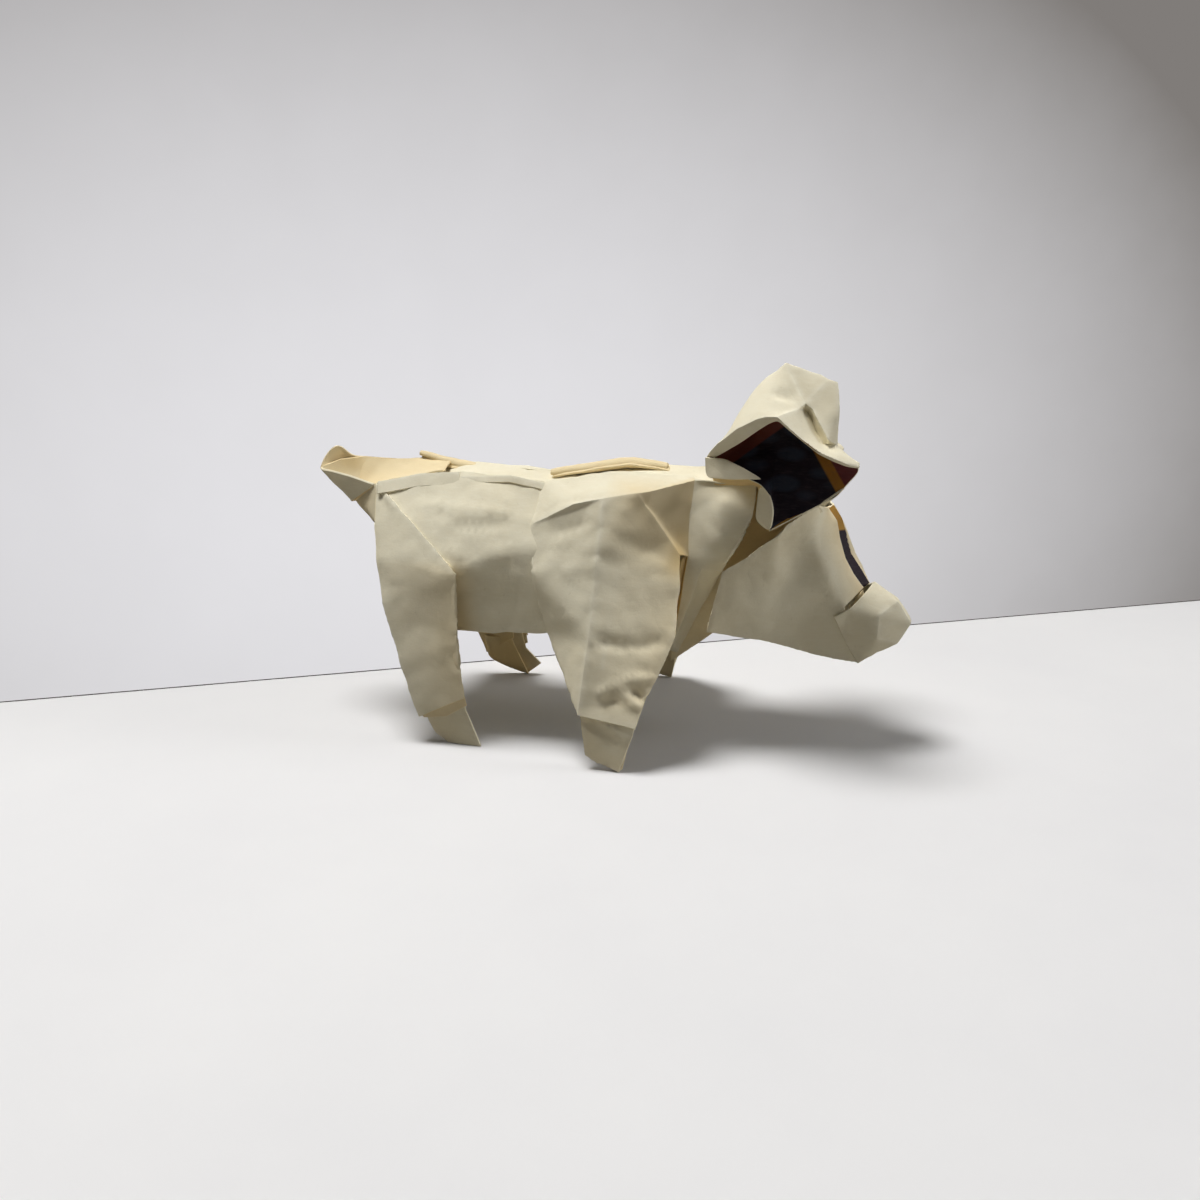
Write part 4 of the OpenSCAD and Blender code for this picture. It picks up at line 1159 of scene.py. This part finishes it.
def printed_paper():
    """The sheet's other side: plain fields of dark colour, a stripe and rows of soft ovals."""
    n = Nodes(bpy.data.materials.new("printed_paper"))
    place = n.place()
    height, strands, felt = paper_surface(n, place)
    parts = n.add("ShaderNodeSeparateXYZ", {"Vector": place})
    x, z = parts.outputs["X"], parts.outputs["Z"]

    def line(px, pz, angle):
        """Signed distance, in millimetres, from a line through (px, pz) that rises at the angle."""
        a = math.radians(angle)
        ahead = n.math("MULTIPLY", n.math("SUBTRACT", x, px * MM), -math.sin(a))
        above = n.math("MULTIPLY", n.math("SUBTRACT", z, pz * MM), math.cos(a))
        return n.math("MULTIPLY", n.math("ADD", ahead, above), 1000.0)

    cells = n.add("ShaderNodeMapping", {"Vector": place, "Rotation": (0, math.radians(35), 0),
                                        "Scale": (150, 0, 310)})
    ovals = n.add("ShaderNodeTexVoronoi", {"Vector": cells.outputs[0], "Scale": 1.0, "Randomness": 0.45})
    oval = n.ramp(ovals.outputs["Distance"], 0.50, 0.36)
    mottle = n.noise(place, MOTTLE, 3, 0.6)
    tone = n.blend(n.ramp(mottle, 0.35, 0.65), DARK, DARK_MOTTLED)
    tone = n.blend(n.math("MULTIPLY", oval, 0.75), tone, OVAL_BLUE)
    tone = n.blend(n.ramp(line(28.0, 52.9, 36.4), -0.15, 0.15), tone, RUST)
    stripe = line(34.2, 56.0, -57)
    tone = n.blend(n.ramp(stripe, -0.15, 0.15), tone, OCHRE)
    tone = n.blend(n.ramp(stripe, 1.55, 1.85), tone, RED)
    # Along the forehead the stripe shows first and then the dark field
    strip = n.blend(n.ramp(z, 37.3 * MM, 37.0 * MM), SEAM_OCHRE, SEAM_DARK)
    tone = n.blend(n.attribute("lining"), tone, strip)
    tone = n.blend(n.ramp(strands, 0.5, 0.8, 0.0, 0.2), tone, WORN)
    return n.finish(tone, n.ramp(felt, 0.3, 0.7, 0.55, 0.7), height)


data.materials.append(cream_paper())
data.materials.append(printed_paper())
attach(sheet, "root")
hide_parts(NODE)


def backdrop(name, corners, material):
    mesh = bpy.data.meshes.new(name)
    mesh.from_pydata(corners, [], [tuple(range(len(corners)))])
    obj = bpy.data.objects.new(name, mesh)
    obj.data.materials.append(material)
    bpy.context.scene.collection.objects.link(obj)
    return obj


def stage_surface(n, tone):
    """Matt paper that looks pale to the camera and throws back little light on the pig."""
    seen = n.add("ShaderNodeLightPath").outputs["Is Camera Ray"]
    return seen, n.matt(n.blend(seen, BOUNCE, tone), STAGE_ROUGH, STAGE_SHINE)


def floor_paper(name, tone, darker):
    n = Nodes(bpy.data.materials.new(name))
    blotch = n.ramp(n.noise(n.place(), FLOOR_BLOTCHES, 4, 0.6), 0.3, 0.7)
    n.add("ShaderNodeOutputMaterial", {"Surface": stage_surface(n, n.blend(blotch, tone, darker))[1]})
    return n.owner


def wall_paper():
    """Wall painted with a pool of light, brightest behind the pig and painted darker away from there, and
    with no back, so that the pig can be looked at from behind it."""
    n = Nodes(bpy.data.materials.new("wall_paper"))
    place = n.place()
    centre = wall_a + run * WALL_BRIGHT[0] + Vector((0, 0, WALL_BRIGHT[1]))
    offset = n.vector("SUBTRACT", place, tuple(centre))[0]
    away = n.vector("LENGTH", n.vector("MULTIPLY", offset, (1, 1, WALL_SQUASH))[0])["Value"]
    falloff = n.math("POWER", n.math("DIVIDE", away, WALL_FADE), 2.0)
    falloff = n.math("ADD", falloff, n.ramp(n.noise(place, WALL_BLOTCHES, 3, 0.6), 0.3, 0.7, -0.012, 0.012))
    tone = n.blend(falloff, WALL, WALL_PAINTED_SHADE)
    seen, surface = stage_surface(n, tone)
    # The camera sees the wall glow with this painted light
    glow = n.add("ShaderNodeEmission", {"Color": tone, "Strength": 1.0})
    surface = n.add("ShaderNodeMixShader", {"Fac": seen, 1: surface, 2: glow.outputs[0]}).outputs[0]
    clear = n.add("ShaderNodeBsdfTransparent")
    back = n.add("ShaderNodeNewGeometry").outputs["Backfacing"]
    surface = n.add("ShaderNodeMixShader", {"Fac": back, 1: surface, 2: clear.outputs[0]}).outputs[0]
    n.add("ShaderNodeOutputMaterial", {"Surface": surface})
    return n.owner


# The wall stands on the floor along a line behind the pig, with a thin strip of painted shade for the gap
# below it
wall_a, wall_b = Vector((-0.1155, -0.0177, 0)), Vector((0.1285, 0.1145, 0))
run = (wall_b - wall_a).normalized()
across = Vector((-run.y, run.x, 0))
WALL_REACH, WALL_HEIGHT, WALL_FADE, GAP, GAP_RISE = 1.5, 0.7, 0.218, 0.0005, 0.00005
# Brightest place of the wall's painted light, along it and above the floor, and how much faster it fades
# upwards
WALL_BRIGHT, WALL_SQUASH = (0.08, 0.035), 1.6
backdrop("floor", [(-2, -2, 0), (2, -2, 0), (2, 2, 0), (-2, 2, 0)],
         floor_paper("floor_paper", FLOOR, FLOOR_BLOTCH))
left, right = wall_a - run * WALL_REACH, wall_a + run * WALL_REACH
up = Vector((0, 0, WALL_HEIGHT))
wall = backdrop("wall", [tuple(p) for p in (left, right, right + up, left + up)], wall_paper())
wall.visible_shadow = False
gap_corners = (left - across * GAP, right - across * GAP, right, left)
backdrop("wall_gap", [tuple(p + Vector((0, 0, GAP_RISE))) for p in gap_corners],
         floor_paper("gap_shade", GAP_DARK, GAP_DARKER))

# The sky is brightest overhead, and the camera sees a pale backdrop all round
SKY_LOW, SKY_HIGH, SKY_SEEN = 0.015, 0.13, 0.75
world = bpy.data.worlds.new("studio")
bpy.context.scene.world = world
sky = Nodes(world)
direction = sky.add("ShaderNodeTexCoord").outputs["Generated"]
upwards = sky.add("ShaderNodeSeparateXYZ", {0: direction}).outputs["Z"]
seen = sky.add("ShaderNodeLightPath").outputs["Is Camera Ray"]
strength = sky.add("ShaderNodeMix", {"Factor": seen, 2: sky.ramp(upwards, 0.0, 1.0, SKY_LOW, SKY_HIGH),
                                     3: SKY_SEEN}).outputs[0]
light = sky.add("ShaderNodeBackground", {"Color": (1, 1, 1, 1), "Strength": strength}).outputs[0]
sky.add("ShaderNodeOutputWorld", {"Surface": light})


def area_light(name, place, aim, size, power, tint=(1, 1, 1)):
    lamp = bpy.data.lights.new(name, "AREA")
    lamp.shape = "DISK"
    lamp.size, lamp.energy, lamp.color = size, power, tint
    obj = bpy.data.objects.new(name, lamp)
    obj.location = place
    obj.rotation_euler = (Vector(aim) - Vector(place)).to_track_quat("-Z", "Y").to_euler()
    bpy.context.scene.collection.objects.link(obj)


area_light("key", (-0.15, -0.01, 0.62), (0, 0, 0.02), 0.24, 3.4, (1.0, 0.99, 0.965))
area_light("side", (0.78, 0.08, 0.24), (0.03, 0, 0.03), 0.3, 2.0)

camera = bpy.data.objects.new("camera", bpy.data.cameras.new("camera"))
bpy.context.scene.collection.objects.link(camera)
camera.data.sensor_width, camera.data.lens = 36, 37.5
camera.data.clip_start, camera.data.clip_end = 0.01, 20
camera.data.dof.use_dof = False
turn, tilt = math.radians(12.55), math.radians(15)
look = Vector((-math.sin(turn) * math.cos(tilt), math.cos(turn) * math.cos(tilt), -math.sin(tilt)))
camera.location = (0.04707, -0.21502, 0.08144)
camera.rotation_euler = look.to_track_quat("-Z", "Y").to_euler()
bpy.context.scene.camera = camera
bpy.context.scene.view_settings.view_transform = "Standard"
